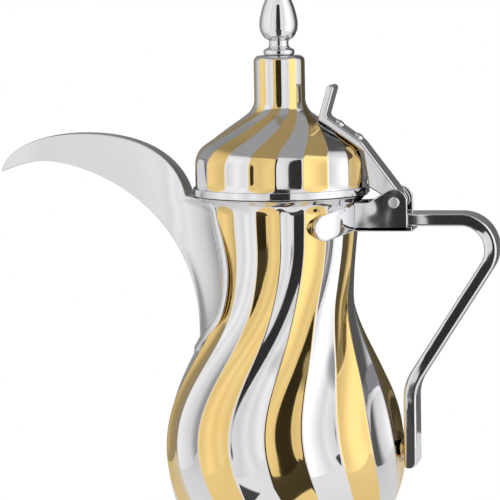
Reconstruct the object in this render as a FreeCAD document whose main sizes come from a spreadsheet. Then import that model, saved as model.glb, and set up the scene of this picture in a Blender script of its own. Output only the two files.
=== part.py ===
import FreeCAD, Part
import math
import os
import re
import Sketcher

# Dallah coffee pot: fluted vessel, crescent spout, bar handle and hinged lid.
# Millimetres, +Z up, +X towards the handle, -X towards the spout.
# The origin is the centre of the flat base.

SIZES = {
    # Vessel
    "sheet_wall": 0.8,
    "foot_radius": 37.2,
    "foot_height": 7.0,
    "belly_radius": 52.2,
    "belly_height": 50.0,
    "neck_radius": 30.7,
    "neck_drop": 42.4,
    "throat_radius": 33.4,
    "flare_height": 6.7,
    "mouth_radius": 37.2,
    "body_height": 161.2,
    "flute_count": 20,
    "flute_depth": 1.6,
    "flute_fade": 4.0,
    "body_twist": 26.8,
    "twist_height": 64.0,
    "twist_reach": 78.0,
    "base_thickness": 1.0,
    "base_rim_height": 5.0,
    "solder_gap": 0.05,
    "seam_gap": 0.3,
    # Spout
    "spout_wall": 0.8,
    "spout_reach": 124.5,
    "spout_tip_rise": 9.8,
    "spout_crest_reach": 87.2,
    "spout_crest_rise": 26.8,
    "spout_root_gap": 2.4,
    "keel_crest_reach": 105.0,
    "keel_crest_rise": 14.8,
    "keel_stand": 1.8,
    "keel_drop": 59.7,
    "root_drop": 69.0,
    "root_width": 24.0,
    "root_flare": 13.0,
    "root_bury": 19.0,
    "beak_width": 7.8,
    "keel_width": 6.6,
    "strainer_hole_radius": 2.2,
    "strainer_pitch": 6.5,
    # Lid
    "lid_gap": 0.3,
    "lid_radius": 37.1,
    "lid_wall_height": 18.3,
    "lid_height": 59.3,
    "cone_pitch": 35.0,
    "shoulder_round": 11.0,
    "tower_radius": 11.0,
    "tower_round": 8.0,
    "crown_round": 2.5,
    "lid_flute_depth": 0.6,
    "lid_twist": 43.5,
    "lid_phase": -2.5,
    "band_radius": 38.1,
    "band_height": 3.1,
    "skirt_radius": 31.8,
    "skirt_depth": 5.0,
    "skirt_wall": 0.8,
    # Finial and what holds it
    "finial_height": 32.5,
    "finial_ring_radius": 6.7,
    "finial_ring_height": 3.2,
    "finial_neck_radius": 4.2,
    "finial_neck_rise": 4.2,
    "finial_bulb_radius": 8.9,
    "finial_bulb_rise": 12.6,
    "finial_cap_radius": 5.9,
    "finial_cap_rise": 24.0,
    "stud_radius": 2.0,
    "stud_drop": 7.0,
    "stud_rise": 12.0,
    "stud_play": 0.1,
    "stud_washer_radius": 4.6,
    "stud_washer_height": 0.8,
    "nut_flats": 7.0,
    "nut_height": 3.2,
    # Lid strap, rivets and hinge
    "strap_width": 16.0,
    "strap_thickness": 3.2,
    "strap_start": 17.4,
    "strap_bed": 0.4,
    "strap_shoulder": 36.0,
    "strap_round": 12.0,
    "web_gap": 1.0,
    "lever_height": 14.5,
    "lever_lean": 16.5,
    "strap_rivet_reach": 24.2,
    "strap_rivet_pitch": 10.0,
    "rivet_radius": 1.5,
    "rivet_head_radius": 2.4,
    "rivet_head_height": 1.3,
    "rivet_washer_radius": 3.2,
    "rivet_washer_height": 0.6,
    "rivet_seat": 1.3,
    "hinge_reach": 50.3,
    "hinge_drop": 3.0,
    "knuckle_radius": 4.3,
    "pin_radius": 1.6,
    "pin_play": 0.05,
    "pin_head_radius": 2.4,
    "pin_head_height": 1.0,
    # Hinge bracket
    "side_play": 0.3,
    "cheek_thickness": 1.7,
    "ear_radius": 5.6,
    "floor_thickness": 2.0,
    "floor_overhang": 2.0,
    "arm_thickness": 1.4,
    "arm_height": 11.4,
    "arm_angle": 47.0,
    "arm_slope": 18.0,
    "arm_drop": 8.9,
    # Handle
    "handle_thickness": 5.5,
    "handle_drop": 10.6,
    "handle_inset": 8.0,
    "handle_reach": 93.8,
    "grip_lean": 33.0,
    "grip_bend": 13.0,
    "heel_bend": 20.0,
    "handle_end_height": 43.5,
    "handle_stand": 0.8,
    "lug_radius": 4.0,
    "lug_rise": 7.5,
}

# Shapes of the free curves, as shares of the spans that they join
BELLY_LOW = (0.26, 0.534, 0.356)
BELLY_HIGH = (0.46, 0.326)
NECK_HIGH = (0.377, 0.193)
FLARE = (0.55, 0.35)
KEEL_ROOT = (0.765, 0.255)
KEEL_TIP = (0.26, 0.27, 0.48)
TOP_ROOT = (1.008, 0.25, 0.135)
TOP_TIP = (0.53, 0.60, 0.277)

# Cross-sections of the spout, as shares: first those buried in the neck (how far drawn out, side flare),
# then those along the root lines (keel, top, side flare), then those along the tip lines (keel, top, width)
BURIED_FAN = ((0.0, 1.0), (0.35, 0.62), (0.68, 0.31))
ROOT_FAN = ((0.03, 0.0, 0.14), (0.14, 0.14, 0.04), (0.29, 0.34, 0.0), (0.45, 0.58, 0.0), (0.60, 0.78, 0.0),
            (0.80, 1.0, 0.0))
TIP_FAN = ((0.0, 0.42, 1.0), (0.3, 0.61, 0.95), (0.6, 0.78, 0.85), (0.96, 0.96, 0.5))

# Floor of the spout's channel at each of those cross-sections, in wall thicknesses
CHANNEL_FLOORS = (16, 16, 16, 14, 6, 2.5, 1.6, 1.3, 1.1, 1, 1, 1)
CHANNEL_ROOFS = (8, 8, 8, 7, 4.5, 2.2, 1.3, 1.1, 1, 1, 1, 1)
SIDE_SHARES = (0.0, 0.3, 0.6, 0.8, 1.0)
FLARE_PEAK = 0.75
CHANNEL_FLARE = 0.5

# Pouring slot: length as a share of the keel past its crest, then reach below and above the crest in walls
MOUTH_SHARE = 0.513
SLOT_BELOW = 5
SLOT_ABOVE = 2

doc = FreeCAD.newDocument("dallah")
sheet = doc.addObject("Spreadsheet::Sheet", "Sizes")
for row, (alias, number) in enumerate(SIZES.items(), start=1):
    sheet.set(f"A{row}", alias)
    sheet.set(f"B{row}", str(number))
    sheet.setAlias(f"B{row}", alias)
doc.recompute()


def size(alias):
    return float(sheet.get(alias))


def vector(x, y, z):
    return FreeCAD.Vector(x, y, z)


# Curves and fluted sections

def bezier(start, leave, arrive, end, steps):
    """Points along a cubic curve, in the plane, both ends included."""
    points = []
    for step in range(steps + 1):
        u = step / steps
        weights = ((1 - u) ** 3, 3 * u * (1 - u) ** 2, 3 * u * u * (1 - u), u ** 3)
        corners = (start, leave, arrive, end)
        points.append(tuple(sum(w * p[axis] for w, p in zip(weights, corners)) for axis in (0, 1)))
    return points


def rounded_path(corners, rounds, steps):
    """Points along a bent line whose inner corners are rounded to arcs."""
    points = [corners[0]]
    for before, corner, after, radius in zip(corners, corners[1:], corners[2:], rounds):
        back = (before[0] - corner[0], before[1] - corner[1])
        ahead = (after[0] - corner[0], after[1] - corner[1])
        back_length = math.hypot(*back)
        ahead_length = math.hypot(*ahead)
        back = (back[0] / back_length, back[1] / back_length)
        ahead = (ahead[0] / ahead_length, ahead[1] / ahead_length)
        half = math.acos(back[0] * ahead[0] + back[1] * ahead[1]) / 2
        middle = (back[0] + ahead[0], back[1] + ahead[1])
        middle_length = math.hypot(*middle)
        reach = radius / math.sin(half) / middle_length
        centre = (corner[0] + middle[0] * reach, corner[1] + middle[1] * reach)
        tangent = radius / math.tan(half)
        first = (corner[0] + back[0] * tangent, corner[1] + back[1] * tangent)
        last = (corner[0] + ahead[0] * tangent, corner[1] + ahead[1] * tangent)
        start = math.atan2(first[1] - centre[1], first[0] - centre[0])
        sweep = math.atan2(last[1] - centre[1], last[0] - centre[0]) - start
        sweep = (sweep + math.pi) % (2 * math.pi) - math.pi
        for step in range(steps + 1):
            angle = start + sweep * step / steps
            points.append((centre[0] + radius * math.cos(angle), centre[1] + radius * math.sin(angle)))
    points.append(corners[-1])
    return points


def fluted_wire(radius, height, depth, turn):
    """Ring of hollow flutes that meet in ridges, one flute centred on the turn angle."""
    count = int(size("flute_count"))
    half = math.pi / count
    edges = []

    def at(distance, angle):
        return vector(distance * math.cos(angle), distance * math.sin(angle), height)

    for flute in range(count):
        middle = turn + 2 * half * flute
        ridges = [at(radius, middle + side * half) for side in (-1, 1)]
        edges.append(Part.Arc(ridges[0], at(radius - depth, middle), ridges[1]).toShape())
    return Part.Wire(edges)


def eased(share):
    """Smooth step from 0 to 1."""
    share = min(max(share, 0.0), 1.0)
    return share * share * (3 - 2 * share)


# Heights that several pieces share

mouth_z = size("body_height")
throat_z = mouth_z - size("flare_height")
neck_z = mouth_z - size("neck_drop")
lid_z = mouth_z + size("lid_gap")
lid_top_z = lid_z + size("lid_height")


# Vessel

def vessel_profile():
    """Height and radius along the vessel's outside, from the floor to the mouth."""
    foot = (size("foot_height"), size("foot_radius"))
    belly = (size("belly_height"), size("belly_radius"))
    neck = (neck_z, size("neck_radius"))
    throat = (throat_z, size("throat_radius"))
    mouth = (mouth_z, size("mouth_radius"))
    low = belly[0] - foot[0]
    high = neck[0] - belly[0]
    upper = throat[0] - neck[0]
    flare = mouth[0] - throat[0]
    lift = BELLY_LOW[0] * low
    spread = BELLY_LOW[1] * (belly[1] - foot[1])
    points = [(0.0, foot[1]), (foot[0] / 2, foot[1])]
    points += bezier(foot, (foot[0] + lift, foot[1] + spread),
                     (belly[0] - BELLY_LOW[2] * low, belly[1]), belly, 6)
    points += bezier(belly, (belly[0] + BELLY_HIGH[0] * high, belly[1]),
                     (neck[0] - BELLY_HIGH[1] * high, neck[1]), neck, 8)[1:]
    points += bezier(neck, (neck[0] + NECK_HIGH[0] * upper, neck[1]),
                     (throat[0] - NECK_HIGH[1] * upper, throat[1]), throat, 4)[1:]
    flare_arrive = (mouth[0] - FLARE[1] * flare, mouth[1] - FLARE[0] * (mouth[1] - throat[1]))
    points += bezier(throat, (throat[0] + FLARE[0] * flare, throat[1]), flare_arrive, mouth, 4)[1:]
    return points


def vessel_radius(height):
    """Outside radius at a height, read along the profile."""
    profile = vessel_profile()
    for (low, first), (high, last) in zip(profile, profile[1:]):
        if low <= height <= high:
            return first + (last - first) * (height - low) / (high - low)
    return profile[-1][1]


def vessel_turn(height):
    """How far the flutes swing round at a height: most at the belly, none at the throat."""
    share = min(abs(height - size("twist_height")) / size("twist_reach"), 1.0)
    return -math.radians(size("body_twist")) * math.cos(share * math.pi / 2) ** 2


def vessel_form(inset):
    """Solid inside the vessel's outline, drawn in by the inset."""
    fade = size("flute_fade")
    wires = []
    for height, radius in vessel_profile():
        low = eased((height - size("foot_height")) / fade)
        high = eased((throat_z - height) / fade)
        depth = size("flute_depth") * radius / size("belly_radius") * min(low, high)
        wires.append(fluted_wire(radius - inset, height, depth, vessel_turn(height)))
    return Part.makeLoft(wires, True, False)


def vessel_ridge_form():
    """Plain round solid through the ridges of the flutes, where other pieces touch the vessel."""
    clear = size("solder_gap")
    rings = [Part.makeCircle(radius + clear, vector(0, 0, height)) for height, radius in vessel_profile()]
    return Part.makeLoft([Part.Wire([ring]) for ring in rings], True, False)


# Lid

def lid_path(inset):
    """Radius and height along the lid, from its lower edge to the middle of its top."""
    pitch = math.radians(size("cone_pitch"))
    wall = size("lid_radius") - inset
    tower = size("tower_radius") - inset
    corner_z = lid_z + size("lid_wall_height")

    def cone(radius):
        return corner_z + (size("lid_radius") - radius) * math.tan(pitch) - inset / math.cos(pitch)

    top = lid_top_z - inset
    corners = [(wall, lid_z), (wall, cone(wall)), (tower, cone(tower)), (tower, top), (0.0, top)]
    rounds = (size("shoulder_round") - inset, size("tower_round") + inset, size("crown_round") - inset)
    return rounded_path(corners, rounds, 4)[:-1]


def lid_turn(radius):
    """Flutes climb the cone as an even spiral: the turn grows with the log of the radius."""
    spiral = math.log(size("lid_radius") / size("tower_radius"))
    share = math.log(size("lid_radius") / radius) / spiral
    return math.radians(size("lid_phase") + size("lid_twist") * min(max(share, 0.0), 1.0))


def spread_path(path, longest):
    """The same path with points added where neighbours lie too far apart."""
    points = [path[0]]
    for first, last in zip(path, path[1:]):
        pieces = max(1, math.ceil(math.dist(first, last) / longest))
        for piece in range(1, pieces + 1):
            share = piece / pieces
            points.append(tuple(a + (b - a) * share for a, b in zip(first, last)))
    return points


def lid_form(inset):
    """Solid inside the lid's outline, drawn in by the inset."""
    band_top = lid_z + size("band_height")
    wires = []
    for radius, height in spread_path(lid_path(inset), size("shoulder_round") / 2):
        depth = size("lid_flute_depth") * radius / size("lid_radius")
        depth *= eased((height - band_top) / size("flute_fade"))
        wires.append(fluted_wire(radius, height, depth, lid_turn(radius + inset)))
    return Part.makeLoft(wires, True, False)


def solid_feature(label, shape):
    feature = doc.addObject("Part::Feature", label)
    feature.Shape = shape
    feature.Label = label
    return feature


vessel_outside = vessel_form(0.0)
vessel_inside = vessel_form(size("sheet_wall"))
lid_outside = lid_form(0.0)
lid_inside = lid_form(size("sheet_wall"))


# Document helpers: sizes are written as expressions in the sheet's own words

def bound(expression):
    """The expression with each size named as a cell of the sheet."""
    def cell(word):
        return f"Sizes.{word[0]}" if word[0] in SIZES else word[0]

    return re.sub(r"[a-z][a-z_]+[a-z]", cell, expression)


def worth(owner, expression):
    return float(owner.evalExpression(bound(expression)))


def bind(owner, **properties):
    for name, expression in properties.items():
        owner.setExpression(name.replace("__", "."), bound(expression))


def new_body(label):
    body = doc.addObject("PartDesign::Body", label)
    body.Label = label
    return body


def new_sketch(body, name):
    """Sketch on the upright plane of the spout and the handle: right is +X, up is +Z."""
    plane = next(feature for feature in body.Origin.OriginFeatures if feature.Role == "XZ_Plane")
    sketch = body.newObject("Sketcher::SketchObject", name)
    sketch.AttachmentSupport = [(plane, "")]
    sketch.MapMode = "FlatFace"
    return sketch


def hold(sketch, geometry, end, x, y):
    """Fix a point of the sketch at a place given by two expressions."""
    for kind, axis, expression in (("DistanceX", -2, x), ("DistanceY", -1, y)):
        if expression == "0":
            sketch.addConstraint(Sketcher.Constraint("PointOnObject", geometry, end, axis))
        else:
            number = worth(sketch, expression)
            index = sketch.addConstraint(Sketcher.Constraint(kind, -1, 1, geometry, end, number))
            sketch.setExpression(f"Constraints[{index}]", bound(expression))


def draw_outline(sketch, corners):
    """Closed outline through corners (x, y, radius); a radius of None leaves the corner sharp."""
    places = [vector(worth(sketch, x), worth(sketch, y), 0) for x, y, radius in corners]
    count = len(corners)
    starts = []
    ends = []
    arcs = []
    for index, (x, y, radius) in enumerate(corners):
        corner = places[index]
        back = (places[index - 1] - corner).normalize()
        ahead = (places[(index + 1) % count] - corner).normalize()
        if radius is None:
            starts.append(corner)
            ends.append(corner)
            arcs.append(None)
            continue
        number = worth(sketch, radius)
        half = back.getAngle(ahead) / 2
        tangent = number / math.tan(half)
        middle = (back + ahead).normalize()
        centre = corner + middle * (number / math.sin(half))
        ends.append(corner + back * tangent)
        starts.append(corner + ahead * tangent)
        turns_left = back.cross(ahead).z < 0
        first, last = (ends[-1], starts[-1]) if turns_left else (starts[-1], ends[-1])
        angles = [math.atan2(spot.y - centre.y, spot.x - centre.x) for spot in (first, last)]
        circle = Part.Circle(centre, vector(0, 0, 1), number)
        arcs.append((Part.ArcOfCircle(circle, angles[0], angles[1]), turns_left))
    lines = []
    for index in range(count):
        line = Part.LineSegment(starts[index], ends[(index + 1) % count])
        lines.append(sketch.addGeometry(line, False))
    for index, (x, y, radius) in enumerate(corners):
        before = lines[index - 1]
        after = lines[index]
        if arcs[index] is None:
            sketch.addConstraint(Sketcher.Constraint("Coincident", before, 2, after, 1))
            hold(sketch, after, 1, x, y)
            continue
        arc, turns_left = arcs[index]
        bend = sketch.addGeometry(arc, False)
        entry, leave = (1, 2) if turns_left else (2, 1)
        sketch.addConstraint(Sketcher.Constraint("Tangent", before, 2, bend, entry))
        sketch.addConstraint(Sketcher.Constraint("Tangent", bend, leave, after, 1))
        held = sketch.addConstraint(Sketcher.Constraint("Radius", bend, worth(sketch, radius)))
        sketch.setExpression(f"Constraints[{held}]", bound(radius))
        spot = sketch.addGeometry(Part.Point(places[index]), True)
        hold(sketch, spot, 1, x, y)
        sketch.addConstraint(Sketcher.Constraint("PointOnObject", spot, 1, before))
        sketch.addConstraint(Sketcher.Constraint("PointOnObject", spot, 1, after))


def turned(label, corners):
    """Piece turned about its own upright axis."""
    body = new_body(label)
    sketch = new_sketch(body, label + "_outline")
    draw_outline(sketch, corners)
    turn = body.newObject("PartDesign::Revolution", label + "_turn")
    turn.Profile = sketch
    turn.ReferenceAxis = (sketch, ["V_Axis"])
    turn.Angle = 360
    return body


def pad_outline(body, name, corners, width):
    """Plate of the given width, half of it to each side of the centre plane."""
    sketch = new_sketch(body, name + "_outline")
    draw_outline(sketch, corners)
    pad = body.newObject("PartDesign::Pad", name)
    pad.Profile = sketch
    pad.SideType = "Symmetric"
    bind(pad, Length=width)
    return pad


def primitive(kind, name, **properties):
    piece = doc.addObject(kind, name)
    bind(piece, **properties)
    return piece


def across(piece):
    """Lay a cylinder that stands on Z along Y."""
    piece.Placement.Rotation = FreeCAD.Rotation(vector(1, 0, 0), -90)
    return piece


def cut(label, base, tool):
    piece = doc.addObject("Part::Cut", label)
    piece.Base = base
    piece.Tool = tool
    piece.Label = label
    return piece


def fuse(label, *pieces):
    piece = doc.addObject("Part::MultiFuse", label)
    piece.Shapes = list(pieces)
    piece.Label = label
    return piece


def group(label, *pieces):
    piece = doc.addObject("Part::Compound", label)
    piece.Links = list(pieces)
    piece.Label = label
    return piece


LID = "(body_height + lid_gap)"
TOP = "(body_height + lid_gap + lid_height)"
HINGE = "(body_height - hinge_drop)"
INNER_HALF = "(strap_width / 2 + side_play)"
OUTER_HALF = "(strap_width / 2 + side_play + cheek_thickness)"
HANDLE_HALF = "(handle_thickness / 2)"
HANDLE_Z = "(body_height - handle_drop)"
FLOOR_TOP = f"({HANDLE_Z} - {HANDLE_HALF})"
FLOOR_LOW = f"({FLOOR_TOP} - floor_thickness)"

vessel_block = solid_feature("vessel_block", vessel_outside)
lid_block = solid_feature("lid_block", lid_outside)


# Vessel shell with its strainer holes, and the pan that closes the foot

def make_body_shell():
    pitch = size("strainer_pitch")
    reach = size("mouth_radius")
    hollows = [vessel_inside]
    for row in (-1, 0, 1, 2, 3):
        for column in (-1, 0, 1):
            start = vector(-reach, column * pitch, neck_z + row * pitch)
            hollows.append(Part.makeCylinder(size("strainer_hole_radius"), reach, start, vector(1, 0, 0)))
    return solid_feature("body_shell", vessel_outside.cut(hollows))


def make_base_plate():
    edge = "(foot_radius - sheet_wall - seam_gap)"
    inner = f"({edge} - base_thickness)"
    return turned("base_plate", [
        ("0", "0", None),
        (edge, "0", None),
        (edge, "base_rim_height", None),
        (inner, "base_rim_height", None),
        (inner, "base_thickness", None),
        ("0", "base_thickness", None),
    ])


# Spout: two pressed halves, cut to the vessel and clear of the lid's band

def at_share(points, share):
    """Point part of the way along a list of points."""
    place = share * (len(points) - 1)
    index = min(int(place), len(points) - 2)
    rest = place - index
    return tuple(a + (b - a) * rest for a, b in zip(points[index], points[index + 1]))


def spout_lines():
    """Keel and top line of the beak, each in a root part and a tip part, as (x, z) points."""
    root_z = mouth_z - size("keel_drop")
    root = (-vessel_radius(root_z) - size("keel_stand"), root_z)
    keel_crest = (-size("keel_crest_reach"), mouth_z + size("keel_crest_rise"))
    collar = (-size("band_radius") - size("spout_root_gap"), mouth_z)
    crest = (-size("spout_crest_reach"), mouth_z + size("spout_crest_rise"))
    tip = (-size("spout_reach"), mouth_z + size("spout_tip_rise"))
    rise = keel_crest[1] - root[1]
    run = root[0] - keel_crest[0]
    keel_root = bezier(root, (root[0], root[1] + KEEL_ROOT[0] * rise),
                       (keel_crest[0] + KEEL_ROOT[1] * run, keel_crest[1]), keel_crest, 40)
    drop = keel_crest[1] - tip[1]
    out = keel_crest[0] - tip[0]
    keel_tip = bezier(keel_crest, (keel_crest[0] - KEEL_TIP[0] * out, keel_crest[1]),
                      (tip[0] + KEEL_TIP[1] * out, tip[1] + KEEL_TIP[2] * drop), tip, 20)
    lift = crest[1] - collar[1]
    span = collar[0] - crest[0]
    top_root = bezier(collar, (collar[0] - TOP_ROOT[1] * lift, collar[1] + TOP_ROOT[0] * lift),
                      (crest[0] + TOP_ROOT[2] * span, crest[1]), crest, 40)
    fall = crest[1] - tip[1]
    beak = crest[0] - tip[0]
    top_tip = bezier(crest, (crest[0] - TOP_TIP[0] * beak, crest[1]),
                     (tip[0] + TOP_TIP[2] * TOP_TIP[1] * fall, tip[1] + TOP_TIP[1] * fall), tip, 20)
    return keel_root, keel_tip, top_root, top_tip


def spout_stations():
    """Cross-sections from the root to the tip: keel point, top point, half widths and side flare."""
    keel_root, keel_tip, top_root, top_tip = spout_lines()
    keel_half = size("keel_width") / 2
    beak_half = size("beak_width") / 2
    root_half = size("root_width") / 2
    flare = size("root_flare")
    low_z = mouth_z - size("root_drop")
    buried_keel = (-vessel_radius(low_z) + 2 * size("sheet_wall"), low_z)
    buried_top = (-size("neck_radius") + size("root_bury"), throat_z + size("flare_height") / 2)
    stations = []
    for pull, flare_share in BURIED_FAN:
        keel = at_share([buried_keel, keel_root[0]], pull)
        top = at_share([buried_top, top_root[0]], pull)
        stations.append((keel, top, keel_half, root_half, flare * flare_share))
    for keel_share, top_share, flare_share in ROOT_FAN:
        top = at_share(top_root, top_share)
        along = (top_root[0][0] - top[0]) / (top_root[0][0] - top_root[-1][0])
        top_half = beak_half + (root_half - beak_half) * (1 - along) ** 2
        stations.append((at_share(keel_root, keel_share), top, keel_half, top_half, flare * flare_share))
    for keel_share, top_share, narrow in TIP_FAN:
        stations.append((at_share(keel_tip, keel_share), at_share(top_tip, top_share),
                         keel_half * narrow, beak_half * narrow, 0.0))
    return stations


def spout_wire(station, inset, floor=0.0, roof=0.0):
    """Closed cross-section: keel, two sides that may swell, and the top strip."""
    (keel_x, keel_z), (top_x, top_z), keel_half, top_half, flare = station
    length = math.hypot(top_x - keel_x, top_z - keel_z)
    flare = flare / (FLARE_PEAK ** 3 * (1 - FLARE_PEAK))
    side = []
    for share in SIDE_SHARES:
        half = keel_half + (top_half - keel_half) * share + flare * share ** 3 * (1 - share)
        place = floor / length + share * (1 - (floor + roof) / length)
        side.append((keel_x + (top_x - keel_x) * place, half - inset, keel_z + (top_z - keel_z) * place))
    near = [vector(x, -y, z) for x, y, z in side]
    far = [vector(x, y, z) for x, y, z in side]
    edges = [Part.LineSegment(near[0], far[0]).toShape()]
    curve = Part.BSplineCurve()
    curve.interpolate(far)
    edges.append(curve.toShape())
    edges.append(Part.LineSegment(far[-1], near[-1]).toShape())
    curve = Part.BSplineCurve()
    curve.interpolate(near[::-1])
    edges.append(curve.toShape())
    return Part.Wire(edges)


def make_spout_halves():
    stations = spout_stations()
    wall = size("spout_wall")
    outside = Part.makeLoft([spout_wire(station, 0.0) for station in stations], True, False)
    channel = []
    for station, floor, roof in zip(stations, CHANNEL_FLOORS, CHANNEL_ROOFS):
        narrowed = station[:4] + (CHANNEL_FLARE * station[4],)
        channel.append(spout_wire(narrowed, wall, floor * wall, roof * wall))
    inside = Part.makeLoft(channel, True, False)
    swing = Part.makeCylinder(size("band_radius") + 2 * size("lid_gap"), size("lid_height"),
                              vector(0, 0, mouth_z - size("lid_gap")))
    keel_z = mouth_z + size("keel_crest_rise")
    slot_half = size("keel_width") / 2 - wall
    slot_length = MOUTH_SHARE * (size("spout_reach") - size("keel_crest_reach"))
    slot_start = vector(-size("keel_crest_reach") - slot_length, -slot_half, keel_z - SLOT_BELOW * wall)
    slot = Part.makeBox(slot_length, 2 * slot_half, (SLOT_BELOW + SLOT_ABOVE) * wall, slot_start)
    whole = outside.cut(vessel_ridge_form()).cut(swing).cut(inside).cut(slot)
    reach = 2 * size("spout_reach")
    halves = []
    for label, low in (("spout_left_half", -reach), ("spout_right_half", 0.0)):
        block = Part.makeBox(2 * reach, reach, 2 * reach, vector(-2 * reach, low, 0))
        halves.append(solid_feature(label, whole.common(block)))
    return halves


# Lid: pressed shell, rolled band, locating skirt

def make_lid_shell():
    shell = solid_feature("lid_sheet", lid_outside.cut(lid_inside))
    bore = primitive("Part::Cylinder", "lid_stud_bore", Radius="stud_radius + stud_play",
                     Height="4 * sheet_wall", Placement__Base__z=f"{TOP} - 3 * sheet_wall")
    return cut("lid_shell", shell, fuse("lid_bores", bore, *rivet_bores("lid")))


def make_lid_rim_band():
    inner = "(lid_radius + seam_gap)"
    edge = "0.5 * (band_radius - lid_radius)"
    return turned("lid_rim_band", [
        (inner, LID, None),
        ("band_radius", LID, edge),
        ("band_radius", f"{LID} + band_height", edge),
        (inner, f"{LID} + band_height", None),
    ])


def make_lid_skirt():
    flange = "(lid_radius - sheet_wall - seam_gap)"
    inner = "(skirt_radius - skirt_wall)"
    return turned("lid_skirt", [
        (flange, LID, None),
        (flange, f"{LID} + skirt_wall", None),
        (inner, f"{LID} + skirt_wall", None),
        (inner, f"{LID} - skirt_depth", None),
        ("skirt_radius", f"{LID} - skirt_depth", None),
        ("skirt_radius", LID, None),
    ])


# Finial and what holds it on the tower

def make_finial_set():
    bore = "(stud_radius + solder_gap)"
    edge = "0.45 * finial_ring_height"
    collar = turned("finial_collar", [
        (bore, TOP, None),
        ("finial_ring_radius", TOP, edge),
        ("finial_ring_radius", f"{TOP} + finial_ring_height", edge),
        (bore, f"{TOP} + finial_ring_height", None),
    ])
    finial = turned("finial", [
        (bore, f"{TOP} + finial_ring_height", None),
        ("finial_neck_radius", f"{TOP} + finial_ring_height", None),
        ("finial_neck_radius", f"{TOP} + finial_neck_rise", None),
        ("finial_bulb_radius", f"{TOP} + finial_bulb_rise", "finial_bulb_radius * 0.7"),
        ("finial_cap_radius", f"{TOP} + finial_cap_rise", "finial_cap_radius * 2"),
        ("0", f"{TOP} + finial_height", None),
        ("0", f"{TOP} + stud_rise + solder_gap", None),
        (bore, f"{TOP} + stud_rise + solder_gap", None),
    ])
    stud = primitive("Part::Cylinder", "finial_stud", Radius="stud_radius", Height="stud_drop + stud_rise",
                     Placement__Base__z=f"{TOP} - stud_drop")
    seat = f"({TOP} - sheet_wall)"
    disc = primitive("Part::Cylinder", "stud_disc", Radius="stud_washer_radius", Height="stud_washer_height",
                     Placement__Base__z=f"{seat} - stud_washer_height")
    hexagon = primitive("Part::Prism", "nut_hexagon", Circumradius="nut_flats / 2 / cos(30)",
                        Height="nut_height", Placement__Base__z=f"{seat} - stud_washer_height - nut_height")
    hole = primitive("Part::Cylinder", "stud_hole", Radius="stud_radius + solder_gap",
                     Height="stud_drop + sheet_wall", Placement__Base__z=f"{TOP} - stud_drop - sheet_wall")
    return [collar, finial, stud, cut("finial_washer", disc, hole), cut("finial_nut", hexagon, hole)]


# Lid strap with its thumb lever, and the two rivets that hold it

def cone_at(x, offset):
    """Height of a line along the cone's side, pushed out from it by an offset."""
    return f"({LID} + lid_wall_height + (lid_radius - {x}) * tan(cone_pitch) + ({offset}) / cos(cone_pitch))"


def rivet_reaches():
    return ("strap_rivet_reach", "(strap_rivet_reach + strap_rivet_pitch * cos(cone_pitch))")


def stand_on_cone(piece, reach, lift):
    """Stand a piece square to the cone at a reach from the pot's axis, lifted off the cone."""
    piece.Placement.Rotation = FreeCAD.Rotation(vector(0, 1, 0), size("cone_pitch"))
    bind(piece, Placement__Rotation__Angle="cone_pitch",
         Placement__Base__x=f"{reach} + {lift} * sin(cone_pitch)",
         Placement__Base__z=f"{cone_at(reach, '0')} + {lift} * cos(cone_pitch)")
    return piece


def rivet_bores(owner):
    bores = []
    for index, reach in enumerate(rivet_reaches()):
        bore = primitive("Part::Cylinder", f"{owner}_rivet_bore_{index + 1}",
                         Radius="rivet_radius + solder_gap", Height="4 * strap_thickness")
        bores.append(stand_on_cone(bore, reach, "(-2 * strap_thickness)"))
    return bores


def make_lid_strap():
    body = new_body("strap_blank")
    start_z = cone_at("strap_start", "-strap_bed")
    web_x = "(band_radius + web_gap)"
    inner_x = "(lid_radius - strap_bed)"
    pad_outline(body, "strap_run", [
        ("strap_start", start_z, None),
        (inner_x, cone_at(inner_x, "-strap_bed"), None),
        (web_x, f"{LID} + band_height", None),
        ("hinge_reach - knuckle_radius", HINGE, None),
        ("hinge_reach + 0.6 * knuckle_radius", HINGE, None),
        ("strap_shoulder", cone_at("strap_shoulder", "strap_thickness"), "strap_round"),
        ("strap_start", cone_at("strap_start", "strap_thickness"), None),
    ], "strap_width")
    top_x = "(strap_start + lever_height * tan(lever_lean))"
    thick_x = "(strap_thickness / cos(lever_lean))"
    lever_top = f"({cone_at('strap_start', '0')} + lever_height)"
    pad_outline(body, "thumb_lever", [
        ("strap_start", start_z, None),
        (f"strap_start + {thick_x}", start_z, None),
        (f"{top_x} + {thick_x}", lever_top, "0.45 * strap_thickness"),
        (top_x, lever_top, "0.45 * strap_thickness"),
    ], "strap_width")
    knuckle = across(primitive("Part::Cylinder", "strap_knuckle", Radius="knuckle_radius",
                               Height="strap_width", Placement__Base__x="hinge_reach",
                               Placement__Base__y="-strap_width / 2", Placement__Base__z=HINGE))
    bore = across(primitive("Part::Cylinder", "strap_pin_bore", Radius="pin_radius + pin_play",
                            Height="2 * strap_width", Placement__Base__x="hinge_reach",
                            Placement__Base__y="-strap_width", Placement__Base__z=HINGE))
    blank = fuse("strap_with_knuckle", body, knuckle)
    fitted = cut("strap_fitted", blank, lid_block)
    return cut("lid_strap", fitted, fuse("strap_bores", bore, *rivet_bores("strap")))


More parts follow.
